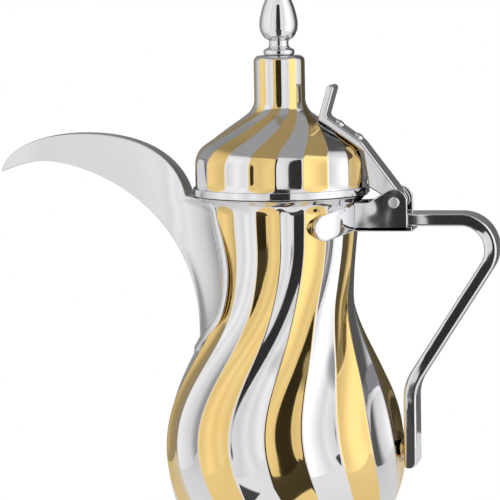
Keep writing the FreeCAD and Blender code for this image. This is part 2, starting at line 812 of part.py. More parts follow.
def make_rivets():
    grip = "(strap_thickness + sheet_wall + rivet_seat + rivet_washer_height)"
    tail = "(rivet_head_radius * 0.85)"
    rivets = []
    washers = []
    for index, reach in enumerate(rivet_reaches()):
        rivet = turned(f"strap_rivet_{index + 1}", [
            ("0", "rivet_head_height", None),
            ("0", f"-{grip} - rivet_head_height * 0.6", None),
            (tail, f"-{grip} - rivet_head_height * 0.6", None),
            (tail, f"-{grip}", None),
            ("rivet_radius", f"-{grip}", None),
            ("rivet_radius", "0", None),
            ("rivet_head_radius", "0", None),
            ("rivet_head_radius", "rivet_head_height", "rivet_head_height * 0.95"),
        ])
        rivets.append(stand_on_cone(rivet, reach, "strap_thickness"))
        washer = turned(f"rivet_washer_{index + 1}", [
            ("rivet_radius + solder_gap", f"-{grip}", None),
            ("rivet_washer_radius", f"-{grip}", None),
            ("rivet_washer_radius", f"-{grip} + rivet_washer_height", None),
            ("rivet_radius + solder_gap", f"-{grip} + rivet_washer_height", None),
        ])
        washers.append(stand_on_cone(washer, reach, "strap_thickness"))
    return [group("strap_rivets", *rivets), group("rivet_washers", *washers)]


# Hinge bracket, pin and handle

def make_hinge_bracket():
    body = new_body("bracket_blank")
    inner_x = "(throat_radius - 4 * cheek_thickness)"
    ear_x = "(hinge_reach + ear_radius)"
    pad_outline(body, "bracket_cheeks", [
        (inner_x, FLOOR_LOW, None),
        (ear_x, FLOOR_LOW, None),
        (ear_x, f"{HINGE} + ear_radius", "0.98 * ear_radius"),
        ("hinge_reach - 0.3 * ear_radius", f"{HINGE} + ear_radius", "0.6 * ear_radius"),
        ("mouth_radius + cheek_thickness", HINGE, None),
        (inner_x, HINGE, None),
    ], f"2 * {OUTER_HALF}")
    channel = primitive("Part::Box", "bracket_channel", Length="2 * hinge_reach", Width=f"2 * {INNER_HALF}",
                        Height="body_height", Placement__Base__x="throat_radius + arm_thickness",
                        Placement__Base__y=f"-{INNER_HALF}", Placement__Base__z=FLOOR_TOP)
    tongue = primitive("Part::Box", "bracket_tongue", Length=f"{ear_x} + floor_overhang - {inner_x}",
                       Width=f"2 * {OUTER_HALF}", Height="floor_thickness", Placement__Base__x=inner_x,
                       Placement__Base__y=f"-{OUTER_HALF}", Placement__Base__z=FLOOR_LOW)
    cheeks = cut("bracket_cheeks_open", body, channel)
    seat = primitive("Part::Cylinder", "bracket_seat", Radius="throat_radius + arm_thickness + solder_gap",
                     Height="body_height")
    bore = across(primitive("Part::Cylinder", "bracket_pin_bore", Radius="pin_radius + solder_gap",
                            Height=f"4 * {OUTER_HALF}", Placement__Base__x="hinge_reach",
                            Placement__Base__y=f"-2 * {OUTER_HALF}", Placement__Base__z=HINGE))
    bored = cut("bracket_bored", fuse("bracket_joined", cheeks, tongue), fuse("bracket_relief", seat, bore))
    return cut("hinge_bracket", bored, vessel_block)


def make_neck_saddle():
    """Sloping arms that wrap the neck on both sides, with round ends."""
    reach = "(throat_radius + arm_thickness)"
    outside = primitive("Part::Cylinder", "saddle_outside", Radius=reach, Height="body_height")
    core = primitive("Part::Cylinder", "saddle_core", Radius="neck_radius - arm_thickness",
                     Height="body_height")
    ring = cut("saddle_ring", outside, core)
    end_x = f"({reach} * cos(arm_angle))"
    middle_z = "(body_height - arm_drop)"
    end_z = f"({middle_z} - ({reach} - {end_x}) * tan(arm_slope))"
    slab = primitive("Part::Box", "saddle_slab", Length="throat_radius", Width=f"2 * {reach}",
                     Height="arm_height", Placement__Base__x=f"{end_x} + arm_height / 2 * sin(arm_slope)",
                     Placement__Base__y=f"-{reach}",
                     Placement__Base__z=f"{end_z} - arm_height / 2 * cos(arm_slope)")
    slab.Placement.Rotation = FreeCAD.Rotation(vector(0, -1, 0), 1)
    bind(slab, Placement__Rotation__Angle="arm_slope")
    ends = []
    for name, side in (("left", "-1"), ("right", "1")):
        end = primitive("Part::Cylinder", f"saddle_end_{name}", Radius="arm_height / 2",
                        Height=f"2 * {reach}")
        turn = FreeCAD.Rotation(vector(0, 0, 1), float(side) * size("arm_angle"))
        end.Placement.Rotation = turn.multiply(FreeCAD.Rotation(vector(0, 1, 0), 90))
        bind(end, Placement__Base__z=end_z)
        ends.append(end)
    saddle = doc.addObject("Part::MultiCommon", "saddle_blank")
    saddle.Shapes = [ring, fuse("saddle_outline", slab, *ends)]
    return cut("neck_saddle", saddle, vessel_block)


def make_hinge_pin():
    edge = "0.6 * pin_head_height"
    high = f"({OUTER_HALF} + pin_head_height)"
    pin = turned("hinge_pin", [
        ("0", f"-{high}", None),
        ("pin_head_radius", f"-{high}", edge),
        ("pin_head_radius", f"-{OUTER_HALF}", None),
        ("pin_radius", f"-{OUTER_HALF}", None),
        ("pin_radius", OUTER_HALF, None),
        ("pin_head_radius", OUTER_HALF, None),
        ("pin_head_radius", high, edge),
        ("0", high, None),
    ])
    across(pin)
    bind(pin, Placement__Base__x="hinge_reach", Placement__Base__z=HINGE)
    return pin


def make_handle():
    half_turn = "((90 - grip_lean) / 2)"
    run_x = f"(belly_radius + handle_stand + {HANDLE_HALF})"
    bend_x = f"(handle_reach - {HANDLE_HALF} + grip_bend * (1 / tan{half_turn} - 1))"
    heel_z = f"({HANDLE_Z} - ({bend_x} - {run_x}) / tan(grip_lean))"
    bend_shift = f"({HANDLE_HALF} / tan{half_turn})"
    heel_shift = f"({HANDLE_HALF} * tan(grip_lean / 2))"
    start_x = "(hinge_reach - handle_inset)"
    body = new_body("handle")
    pad_outline(body, "handle_bar", [
        (start_x, f"{HANDLE_Z} - {HANDLE_HALF}", None),
        (f"{bend_x} - {bend_shift}", f"{HANDLE_Z} - {HANDLE_HALF}", f"grip_bend - {HANDLE_HALF}"),
        (f"{run_x} - {HANDLE_HALF}", f"{heel_z} + {heel_shift}", f"heel_bend + {HANDLE_HALF}"),
        (f"{run_x} - {HANDLE_HALF}", "handle_end_height", None),
        (f"{run_x} + {HANDLE_HALF}", "handle_end_height", "0.5 * handle_thickness"),
        (f"{run_x} + {HANDLE_HALF}", f"{heel_z} - {heel_shift}", f"heel_bend - {HANDLE_HALF}"),
        (f"{bend_x} + {bend_shift}", f"{HANDLE_Z} + {HANDLE_HALF}", f"grip_bend + {HANDLE_HALF}"),
        (start_x, f"{HANDLE_Z} + {HANDLE_HALF}", None),
    ], f"2 * {INNER_HALF}")
    return body


def make_handle_lug():
    start_x = "(belly_radius - 2 * lug_radius)"
    post = primitive("Part::Cylinder", "lug_post", Radius="lug_radius",
                     Height=f"belly_radius + handle_stand - {start_x}", Placement__Base__x=start_x,
                     Placement__Base__z="handle_end_height + lug_rise")
    post.Placement.Rotation = FreeCAD.Rotation(vector(0, 1, 0), 90)
    return cut("handle_lug", post, vessel_block)


pieces = [make_body_shell(), make_base_plate()]
pieces += make_spout_halves()
pieces += [make_neck_saddle(), make_hinge_bracket(), make_hinge_pin(), make_handle(), make_handle_lug()]
pieces += [make_lid_shell(), make_lid_rim_band(), make_lid_skirt()]
pieces += make_finial_set()
pieces += [make_lid_strap()]
pieces += make_rivets()
doc.recompute()

for item in doc.Objects:
    if "Invalid" in item.State or "Error" in item.State:
        raise RuntimeError(f"{item.Label} failed: {item.State}")
for piece in pieces:
    if piece.Shape.isNull() or not piece.Shape.isValid() or not piece.Shape.Solids:
        raise RuntimeError(f"{piece.Label} has no sound solid")

os.makedirs("parts", exist_ok=True)
for piece in pieces:
    piece.Shape.exportStep(f"parts/{piece.Label}.step")
    box = piece.Shape.BoundBox
    print(f"{piece.Label}: {len(piece.Shape.Solids)} solid, {piece.Shape.Volume:.0f} mm3,"
          f" x {box.XMin:.1f} to {box.XMax:.1f}, y {box.YMin:.1f} to {box.YMax:.1f},"
          f" z {box.ZMin:.1f} to {box.ZMax:.1f}")
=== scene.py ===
# %% [markdown]
# # A fluted dallah coffee pot
# A dallah is the long-beaked pot in which hot coffee is brought to the table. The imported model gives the
# true frame: its solids are plain, and each piece made below stands for one or more of them with its
# final looks. Every piece rides on one of two bodies, the pot or the lid, so that it follows when the lid
# swings open.

# %% Load the frame
import math

import bmesh
import bpy
import numpy as np
from mathutils import Matrix, Vector


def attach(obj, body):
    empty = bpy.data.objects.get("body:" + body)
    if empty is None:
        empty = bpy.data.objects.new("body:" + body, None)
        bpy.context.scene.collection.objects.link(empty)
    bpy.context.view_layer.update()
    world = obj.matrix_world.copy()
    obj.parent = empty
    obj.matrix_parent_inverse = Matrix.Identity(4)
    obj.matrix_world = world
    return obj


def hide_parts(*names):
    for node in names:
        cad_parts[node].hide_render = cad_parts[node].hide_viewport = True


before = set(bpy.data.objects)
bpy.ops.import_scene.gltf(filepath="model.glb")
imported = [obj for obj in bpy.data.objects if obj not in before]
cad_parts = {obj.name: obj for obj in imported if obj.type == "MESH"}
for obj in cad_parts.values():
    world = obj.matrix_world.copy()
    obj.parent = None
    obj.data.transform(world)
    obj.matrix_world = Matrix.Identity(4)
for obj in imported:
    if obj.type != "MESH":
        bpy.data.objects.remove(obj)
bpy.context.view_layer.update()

# %% [markdown]
# ## Units and shared sizes
# Blender counts in metres and a metalworker in millimetres, so sizes are written in millimetres and
# scaled once, when a mesh is made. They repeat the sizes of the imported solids, which keeps each dressed
# piece where its solid is. Heights count from the table; +X points to the handle and -X to the spout. A
# size that only one piece needs is written beside that piece.

# %% Shared sizes
MM = 0.001
WALL = 0.8
SOLDER_GAP = 0.3
NEAR_AXIS = 0.01
BELLY_RADIUS = 52.2
NECK_Z = 118.8
LID_Z = 161.5
LID_RADIUS = 37.1
HINGE_X = 50.3
HINGE_Z = 158.2
FACING = math.radians(11.0)
print("belly", 2 * BELLY_RADIUS, "mm across, lid", 2 * LID_RADIUS, "mm across, walls", WALL, "mm")

# %% [markdown]
# ## From points to pieces
# Pressed and turned metal has exact curves, which are easier to calculate than to push into place by
# hand. So nearly every piece is a skin over rings of points. `grid_faces` joins neighbouring rings,
# `capped_faces` also closes both ends, and `fix_normals` turns all faces outwards, because a mirror
# finish shows each face that is turned wrongly.

# %% Mesh helpers
def new_piece(name, vertices, faces):
    """A smooth-shaded object from points in millimetres and the faces between them."""
    mesh = bpy.data.meshes.new(name)
    mesh.from_pydata((np.asarray(vertices, float) * MM).tolist(), [], faces)
    mesh.polygons.foreach_set("use_smooth", [True] * len(mesh.polygons))
    mesh.update()
    piece = bpy.data.objects.new(name, mesh)
    bpy.context.scene.collection.objects.link(piece)
    return piece


def grid_faces(rows, columns):
    """Four-sided faces between neighbouring rings of points, each ring closed on itself."""
    faces = []
    for row in range(rows - 1):
        low = row * columns
        high = low + columns
        for column in range(columns):
            after = (column + 1) % columns
            faces.append((low + column, low + after, high + after, high + column))
    return faces


def capped_faces(rows, columns):
    """The same faces with the first and the last ring filled."""
    last = (rows - 1) * columns
    ends = [tuple(range(columns)), tuple(last + index for index in range(columns))]
    return grid_faces(rows, columns) + ends


def fix_normals(piece):
    """Merge points that coincide and turn every face outwards."""
    work = bmesh.new()
    work.from_mesh(piece.data)
    bmesh.ops.remove_doubles(work, verts=work.verts, dist=1e-6)
    bmesh.ops.recalc_face_normals(work, faces=work.faces)
    work.to_mesh(piece.data)
    work.free()
    return piece


print("two rings of six points make", len(grid_faces(2, 6)), "faces, with ends", len(capped_faces(2, 6)))

# %% [markdown]
# ## Colours and nodes
# Colours are picked on a screen, as sRGB hex, but light adds up in linear values, so `linear` translates
# them once. A material is a small net of nodes. `add_node` is all that is needed to build one: it adds a
# node, sets its options and gives each input either a constant or a link.

# %% Colours and nodes
def linear(code):
    """A colour written as sRGB hex, turned into the light values that shaders use."""
    parts = [int(code[i:i + 2], 16) / 255 for i in (1, 3, 5)]
    return tuple(p / 12.92 if p <= 0.04045 else ((p + 0.055) / 1.055) ** 2.4 for p in parts) + (1.0,)


def add_node(tree, kind, values=None, **settings):
    """Add one node with its options, and a constant or a link for each named input."""
    node = tree.nodes.new(kind)
    for name, value in settings.items():
        setattr(node, name, value)
    for socket, value in (values or {}).items():
        if isinstance(value, bpy.types.NodeSocket):
            tree.links.new(value, node.inputs[socket])
        else:
            node.inputs[socket].default_value = value
    return node


print("mid grey on a screen is", round(linear("#808080")[0], 3), "as light")

# %% [markdown]
# ## Polished metal
# A perfect mirror looks like a computer picture. On a pot that has been handled, the mirror is broken by
# a little haze, by wiped patches, by fine polishing lines and by the slow swell of the sheet. All four
# come from noise in the piece's own space, with sizes in millimetres, so they stay on the metal from
# every side. Real polishing lines are finer than a pixel here, so they are drawn 2.4 mm wide, as coarse
# as it takes to show them.

# %% Polished metal
WIPED_PATCH = 34.0
POLISHING_LINE = 2.4
LINE_STRETCH = 9.0
LINE_DULLNESS = 0.018
WIPED_SHARE = 0.35
GILT_EDGE = 0.10
# Stretches of the noise, from nothing to full effect
LINE_NOISE = (0.35, 0.75)
HAZE_NOISE = (0.48, 0.75)
WIPED_NOISE = (0.42, 0.72)


def metal(name, clean, wiped, gold=None, rough=0.05, haze=0.05, swell=0.05, wave=22):
    """Metal in a clean and a wiped colour, with gold where the skin is gilded; swell and wave in mm."""
    material = bpy.data.materials.new(name)
    material.use_nodes = True
    tree = material.node_tree
    shader = tree.nodes["Principled BSDF"]
    shader.inputs["Metallic"].default_value = 1.0
    where = add_node(tree, "ShaderNodeTexCoord").outputs["Object"]
    patches = add_node(tree, "ShaderNodeTexNoise", {"Vector": where, "Scale": 1 / (WIPED_PATCH * MM),
                                                    "Detail": 4.0, "Roughness": 0.55}).outputs["Fac"]
    along = add_node(tree, "ShaderNodeMapping", {"Vector": where, "Scale": (1.0, 1.0, LINE_STRETCH)})
    lines = add_node(tree, "ShaderNodeTexNoise", {"Vector": along.outputs["Vector"],
                                                  "Scale": 1 / (POLISHING_LINE * MM), "Detail": 2.0})
    lined = add_node(tree, "ShaderNodeMapRange", {"Value": lines.outputs["Fac"], "From Min": LINE_NOISE[0],
                                                  "From Max": LINE_NOISE[1], "To Max": LINE_DULLNESS})
    hazy = add_node(tree, "ShaderNodeMapRange", {"Value": patches, "From Min": HAZE_NOISE[0],
                                                 "From Max": HAZE_NOISE[1], "To Max": haze})
    dull = add_node(tree, "ShaderNodeMath", {0: lined.outputs["Result"], 1: hazy.outputs["Result"]},
                    operation="ADD")
    dull = add_node(tree, "ShaderNodeMath", {0: dull.outputs[0], 1: rough}, operation="ADD")
    tree.links.new(dull.outputs[0], shader.inputs["Roughness"])

    worn = add_node(tree, "ShaderNodeMapRange", {"Value": patches, "From Min": WIPED_NOISE[0],
                                                 "From Max": WIPED_NOISE[1], "To Max": WIPED_SHARE})
    worn = worn.outputs["Result"]
    colour = add_node(tree, "ShaderNodeMix", {"Factor": worn, "A": linear(clean), "B": linear(wiped)},
                      data_type="RGBA").outputs["Result"]
    if gold:
        inside = add_node(tree, "ShaderNodeAttribute", attribute_name="gilding").outputs["Fac"]
        mask = add_node(tree, "ShaderNodeMapRange", {"Value": inside, "From Min": -GILT_EDGE,
                                                     "From Max": GILT_EDGE}).outputs["Result"]
        plating = add_node(tree, "ShaderNodeMix", {"Factor": worn, "A": linear(gold[0]),
                                                   "B": linear(gold[1])}, data_type="RGBA").outputs["Result"]
        colour = add_node(tree, "ShaderNodeMix", {"Factor": mask, "A": colour, "B": plating},
                          data_type="RGBA").outputs["Result"]
    tree.links.new(colour, shader.inputs["Base Color"])

    waves = add_node(tree, "ShaderNodeTexNoise", {"Vector": where, "Scale": 1 / (wave * MM), "Detail": 1.0})
    bump = add_node(tree, "ShaderNodeBump", {"Height": waves.outputs["Fac"], "Strength": 1.0,
                                             "Distance": swell * MM})
    tree.links.new(bump.outputs["Normal"], shader.inputs["Normal"])
    return material


print("polishing lines", POLISHING_LINE, "mm wide, wiped patches", WIPED_PATCH, "mm across")

# %% [markdown]
# ## Six finishes
# The pot is stainless steel throughout, but each piece left the workshop in its own state. One function
# with a few settings gives them all, which keeps them related to the eye: the same steel, more or less
# smooth.

# %% Six finishes
BRIGHT = "#E2E2E4"
# Pressed sheet, mirror polished: it shows the room and has hardly a colour of its own
steel = metal("polished_steel", BRIGHT, "#D6D6D8")
# The same sheet with gold plated on every second flute: warm mirrors between cool ones
gilded_steel = metal("steel_with_gold_flutes", BRIGHT, "#D6D6D8", gold=("#EDCC86", "#E4BF74"))
# Sheet rubbed satin along the beak: reflections melt into broad, soft bands
satin_steel = metal("satin_steel", BRIGHT, "#D8D8DA", rough=0.19, haze=0.03)
# Forged bar, polished over its hammer blows: a mirror in which the reflections wander
forged_steel = metal("forged_steel", BRIGHT, "#D0D0D2", rough=0.06, haze=0.06, swell=0.35, wave=15)
# A pin whose heads were struck flat: pale and dull
hammered_steel = metal("hammered_steel", "#E4E4E6", "#D8D8DA", rough=0.42)
# Turned fasteners inside the lid, never polished: greyer, with blurred highlights
plain_steel = metal("plain_steel", "#C4C4C6", "#B4B4B6", rough=0.22)
for finish in (steel, gilded_steel, satin_steel, forged_steel, hammered_steel, plain_steel):
    print(finish.name, "has", len(finish.node_tree.nodes), "nodes")

# %% [markdown]
# ## Dressing a piece
# A finished skin needs a material, the body that it moves with and the imported solids that it
# stands for. Doing this in one place means that no piece is forgotten when the lid opens.

# %% Dressing a piece
def dress(piece, body, material, *nodes, slot="polished_steel"):
    """Give a piece its material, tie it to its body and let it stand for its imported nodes."""
    piece.data.materials.clear()
    piece.data.materials.append(material)
    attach(piece, body)
    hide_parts(*nodes)
    print(piece.name, "rides on", body, "with", len(piece.data.polygons), "faces")


# %% [markdown]
# ## The vessel's outline
# The vessel is a pear: an upright foot, a round belly, a slim neck and a mouth that flares to carry the
# lid. Real pots are pressed or spun over a form, which leaves no corners, so the outline is four smooth
# curves that meet with a common direction at the belly, the neck and the throat.

# %% Vessel outline
FOOT_RADIUS = 37.2
NECK_RADIUS = 30.7
THROAT_RADIUS = 33.4
MOUTH_RADIUS = 37.2
FOOT_Z = 7.0
BELLY_Z = 50.0
THROAT_Z = 154.5
MOUTH_Z = 161.2


def bezier(start, leave, arrive, end, steps):
    """Smooth curve from start to end, pulled towards the two points between them."""
    u = np.linspace(0, 1, steps + 1)[:, None]
    points = [np.array(p, float) for p in (start, leave, arrive, end)]
    return ((1 - u) ** 3 * points[0] + 3 * u * (1 - u) ** 2 * points[1]
            + 3 * u * u * (1 - u) * points[2] + u ** 3 * points[3])


def vessel_outline(steps):
    """Height and ridge radius from the foot to the mouth."""
    foot = np.array((FOOT_Z, FOOT_RADIUS))
    belly = np.array((BELLY_Z, BELLY_RADIUS))
    neck = np.array((NECK_Z, NECK_RADIUS))
    throat = np.array((THROAT_Z, THROAT_RADIUS))
    mouth = np.array((MOUTH_Z, MOUTH_RADIUS))
    parts = [np.array([(0.0, FOOT_RADIUS), (FOOT_Z / 2, FOOT_RADIUS)]),
             bezier(foot, foot + (11.18, 8.01), belly - (15.31, 0.0), belly, steps),
             bezier(belly, belly + (31.65, 0.0), neck - (22.43, 0.0), neck, steps)[1:],
             bezier(neck, neck + (13.46, 0.0), throat - (6.89, 0.0), throat, steps // 2)[1:],
             bezier(throat, throat + (3.69, 0.0), mouth - (2.35, 2.09), mouth, steps // 4)[1:]]
    return np.vstack(parts)


outline = vessel_outline(56)


def vessel_radius(height):
    """Radius of the ridges at one or more heights."""
    return np.interp(height, outline[:, 0], outline[:, 1])


print("outline of", len(outline), "points, narrowest at", round(outline[outline[:, 1].argmin(), 0], 1), "mm")

# %% [markdown]
# ## Hollow flutes
# Twenty flutes run round the pot. Each is a hollow, and two neighbours meet in a narrow ridge; that is
# why a single flute shows a bright and a dark strip at once. They could be cut one by one, but the same
# skin can simply dip between the ridges. Each point also remembers how far it lies inside a gilded flute,
# in millimetres, so that the plating has crisp sides and scalloped ends without any extra mesh.

# %% Hollow flutes
FLUTES = 20
HALF_FLUTE = math.pi / FLUTES
FLUTE_SAMPLES = 32
UNPLATED = -1.0


def eased(share):
    """From 0 to 1 without a corner at either end."""
    share = np.clip(share, 0.0, 1.0)
    return share * share * (3 - 2 * share)


def flute_fall(share, soft):
    """How far a hollow flute lies below its softened ridges, from 0 on a ridge to 1 in the middle."""
    inward = 1 - np.abs(share)
    fall = 2 * inward - inward ** 2 - (soft - soft ** 2)
    fall = np.where(inward < soft, inward ** 2 / soft, fall)
    return fall / (1 - soft + soft ** 2)


def fluted_skin(name, rows, plated, soft, edge_low, edge_high):
    """Rows hold radius, height, flute depth and turn; the first are plated between scalloped edges."""
    flute = np.repeat(np.arange(FLUTES), FLUTE_SAMPLES)
    share = np.tile(np.sin((np.arange(FLUTE_SAMPLES) / FLUTE_SAMPLES - 0.5) * math.pi), FLUTES)
    delta = share * HALF_FLUTE
    fall = flute_fall(share, soft)
    gilt_sign = np.where(flute % 2 == 1, 1.0, -1.0)
    arch = np.sqrt(np.clip(1 - share ** 2, 0, 1))
    vertices = []
    gilding = []
    for index, (radius, height, depth, turn) in enumerate(rows):
        distance = radius - depth * fall
        angle = turn + 2 * HALF_FLUTE * flute + delta
        heights = np.full(len(angle), height)
        vertices.append(np.column_stack((distance * np.cos(angle), distance * np.sin(angle), heights)))
        from_side = radius * (HALF_FLUTE - np.abs(delta)) * gilt_sign
        from_top = edge_high[0] + edge_high[1] * arch - height
        from_low = height - edge_low[0] + edge_low[1] * arch
        inside = np.minimum(from_side, np.minimum(from_top, from_low))
        gilding.append(inside if index < plated else np.full(len(inside), UNPLATED))
    piece = new_piece(name, np.vstack(vertices), grid_faces(len(rows), FLUTES * FLUTE_SAMPLES))
    layer = piece.data.attributes.new("gilding", "FLOAT", "POINT")
    layer.data.foreach_set("value", np.concatenate(gilding).astype(np.float32))
    return piece


print("one flute spans", math.degrees(2 * HALF_FLUTE), "degrees")

# %% [markdown]
# ## The vessel
# On the vessel the flutes swing sideways round the belly and come back at the neck, fading out at the
# foot and below the plain mouth. The skin goes up the outside, over a rounded lip and down the inside, so
# the wall has its true thickness when the lid is open. Only the outside is plated.

# %% Vessel
SWING = math.radians(26.8)
SWING_Z = 64.0
SWING_REACH = 78.0
FLUTE_DEPTH = 0.0315
FOOT_FADE = 4.0
MOUTH_FADE = 3.8
LOW_FLUTES = 0.62
LOW_FLUTES_Z = 43.0
LOW_FLUTES_FADE = 14.0
RIDGE = 0.11
LIP = WALL / 2


def vessel_row(height, radius):
    """Radius, height, flute depth and turn of one ring."""
    share = min(abs(height - SWING_Z) / SWING_REACH, 1.0)
    turn = -SWING * math.cos(share * math.pi / 2) ** 2
    fade = min(eased((height - FOOT_Z) / FOOT_FADE), eased((THROAT_Z + MOUTH_FADE - height) / MOUTH_FADE))
    depth = FLUTE_DEPTH * radius * fade
    depth *= LOW_FLUTES + (1 - LOW_FLUTES) * eased((height - LOW_FLUTES_Z) / LOW_FLUTES_FADE)
    return radius, height, float(depth), turn


rows = [vessel_row(z, r) for z, r in outline]
rows[-1] = (MOUTH_RADIUS, MOUTH_Z - LIP, 0.0, 0.0)
for angle in np.linspace(0.3, 2.8, 6):
    rows.append((MOUTH_RADIUS - LIP + LIP * math.cos(angle), MOUTH_Z - LIP + LIP * math.sin(angle), 0.0, 0.0))
rows += [vessel_row(min(z, MOUTH_Z - LIP), r - WALL) for z, r in outline[::-1]]
rows.append(rows[0])
vessel = fluted_skin("vessel", rows, len(outline), RIDGE, edge_low=(9.5, 2.0), edge_high=(155.0, 3.4))
fix_normals(vessel)
print("vessel of", len(rows), "rings with", len(vessel.data.vertices), "points")

# %% [markdown]
# ## Strainer holes
# Behind the spout the wall is pierced by rows of small holes, which hold the grounds back. A row of
# drills, turned on a lathe and joined into one tool, is taken away from the wall with a Boolean modifier.
# The result is kept as a plain mesh, so that the tool can be thrown away.

# %% Strainer holes
HOLE_RADIUS = 2.2
HOLE_PITCH = 6.5
DRILL_START = -17.0
DRILL_END = -40.0


def lathe(name, turned, columns):
    """Spin an outline of radius and height about the upright axis."""
    turned = np.asarray(turned, float)
    turn = np.arange(columns) * 2 * math.pi / columns
    rings = [np.column_stack((r * np.cos(turn), r * np.sin(turn), np.full(columns, z))) for r, z in turned]
    return new_piece(name, np.vstack(rings), grid_faces(len(turned), columns))


def place(piece, matrix):
    """Move a piece's points and keep its origin where all origins are."""
    piece.data.transform(matrix)
    return piece


def join(name, pieces):
    """Bring several pieces into one, their modifiers applied."""
    graph = bpy.context.evaluated_depsgraph_get()
    work = bmesh.new()
    for piece in pieces:
        made = bpy.data.meshes.new_from_object(piece.evaluated_get(graph))
        made.transform(piece.matrix_world)
        work.from_mesh(made)
        bpy.data.meshes.remove(made)
    mesh = bpy.data.meshes.new(name)
    work.to_mesh(mesh)
    work.free()
    for piece in pieces:
        bpy.data.objects.remove(piece)
    joined = bpy.data.objects.new(name, mesh)
    bpy.context.scene.collection.objects.link(joined)
    return joined


drills = []
for row in range(-1, 4):
    for column in (-1, 0, 1):
        drill = lathe("drill", [(0.001, DRILL_START), (HOLE_RADIUS, DRILL_START), (HOLE_RADIUS, DRILL_END),
                                (0.001, DRILL_END)], 28)
        seat = Matrix.Translation((0, HOLE_PITCH * column * MM, (NECK_Z + HOLE_PITCH * row) * MM))
        drills.append(fix_normals(place(drill, seat @ Matrix.Rotation(math.pi / 2, 4, "Y"))))
print(len(drills), "strainer holes,", 2 * HOLE_RADIUS, "mm across")
drills = join("drills", drills)
cut = vessel.modifiers.new("strainer", "BOOLEAN")
cut.object = drills
pierced = bpy.data.meshes.new_from_object(vessel.evaluated_get(bpy.context.evaluated_depsgraph_get()))
vessel.modifiers.clear()
vessel.data = pierced
bpy.data.objects.remove(drills)
dress(vessel, "pot", gilded_steel, "body_shell", slot="steel_with_gold")

# %% [markdown]
# ## The base pan
# A shallow pan closes the foot from below. It is a turned part, so its outline is spun on the lathe.
# `rounded` draws an outline through corners and rounds each by its own radius, as a file does to a sharp
# edge.

# %% Base pan
PAN_RADIUS = FOOT_RADIUS - WALL - SOLDER_GAP
PAN_SHEET = 1.0
PAN_RIM = 5.0


def rounded(corners, closed=True, steps=8):
    """Outline through corners (x, y, radius), each rounded to an arc."""
    points = []
    count = len(corners)
    for index, (x, y, radius) in enumerate(corners):
        here = np.array((x, y), float)
        inner = closed or 0 < index < count - 1
        if radius <= 0 or not inner:
            points.append(here)
            continue
        back = np.array(corners[index - 1][:2], float) - here
        ahead = np.array(corners[(index + 1) % count][:2], float) - here
        back /= np.linalg.norm(back)
        ahead /= np.linalg.norm(ahead)
        half = math.acos(max(-1.0, min(1.0, float(back @ ahead)))) / 2
        middle = (back + ahead) / np.linalg.norm(back + ahead)
        centre = here + middle * radius / math.sin(half)
        first = here + back * radius / math.tan(half) - centre
        last = here + ahead * radius / math.tan(half) - centre
        start = math.atan2(first[1], first[0])
        sweep = (math.atan2(last[1], last[0]) - start + math.pi) % (2 * math.pi) - math.pi
        for angle in start + sweep * np.linspace(0, 1, steps + 1):
            points.append(centre + radius * np.array((math.cos(angle), math.sin(angle))))
    return np.array(points)


pan_line = rounded([(NEAR_AXIS, 0, 0), (PAN_RADIUS, 0, 0.6), (PAN_RADIUS, PAN_RIM, 0.3),
                    (PAN_RADIUS - PAN_SHEET, PAN_RIM, 0.3), (PAN_RADIUS - PAN_SHEET, PAN_SHEET, 0.4),
                    (NEAR_AXIS, PAN_SHEET, 0)])
dress(lathe("base_pan", pan_line, 160), "pot", steel, "base_plate")

# %% [markdown]
# ## The lid
# The lid is one pressed sheet: a short wall, a cone and a slim tower. The flutes go on here as a spiral,
# deep petals on the wall and shallow facets on the cone, and they stand upright on the tower. To keep
# equal facets on a cone, the turn grows with the logarithm of the radius. The helper `spread` adds
# points, so that the spiral stays smooth.

# %% Lid
CONE_PITCH = math.radians(35.0)
LID_WALL_HEIGHT = 18.3
LID_TOP_Z = 220.8
TOWER_RADIUS = 11.0
BAND_HEIGHT = 3.1
SPIRAL_START = -2.5
SPIRAL = 43.5
SHOULDER_ROUND = 11.0
TOWER_FOOT_ROUND = 8.0
CROWN_ROUND = 2.5
STUD_HOLE = 2.15
FACET_DEPTH = 0.0125
FACET_END_Z = 192.0
PETAL_DEPTH = 0.0100
PETAL_END_Z = 175.4
LID_RIDGE = 0.16


def spread(points, longest):
    """The same line with points added where neighbours lie too far apart."""
    made = [points[0]]
    for first, last in zip(points[:-1], points[1:]):
        parts = max(1, math.ceil(np.linalg.norm(last - first) / longest))
        for part in range(1, parts + 1):
            made.append(first + (last - first) * part / parts)
    return np.array(made)


def cone_height(radius, offset):
    """Height of the cone at a radius, or of a surface that lies an offset outside it."""
    rise = (LID_RADIUS - radius) * math.tan(CONE_PITCH)
    return LID_Z + LID_WALL_HEIGHT + rise + offset / math.cos(CONE_PITCH)


def lid_line(inset):
    """Radius and height from the lower edge over the cone to the tower's top."""
    wall = LID_RADIUS - inset
    tower = TOWER_RADIUS - inset
    top = LID_TOP_Z - inset
    line = rounded([(wall, LID_Z, 0), (wall, cone_height(wall, -inset), SHOULDER_ROUND - inset),
                    (tower, cone_height(tower, -inset), TOWER_FOOT_ROUND + inset),
                    (tower, top, CROWN_ROUND - inset), (STUD_HOLE, top, 0)], closed=False, steps=14)
    return spread(line, 1.2)


def lid_row(radius, height, inset):
    """Radius, height, flute depth and turn of one ring."""
    share = math.log(LID_RADIUS / max(radius + inset, TOWER_RADIUS)) / math.log(LID_RADIUS / TOWER_RADIUS)
    start = eased((height - LID_Z - BAND_HEIGHT) / 3.0)
    petal = float(start * (1 - eased((height - PETAL_END_Z) / 3.6)))
    facet = float(start * (1 - 0.7 * eased((height - FACET_END_Z) / 8.0)))
    depth = radius * (FACET_DEPTH * facet + PETAL_DEPTH * petal)
    return radius, height, depth, math.radians(SPIRAL * max(share, 0.0) + SPIRAL_START)


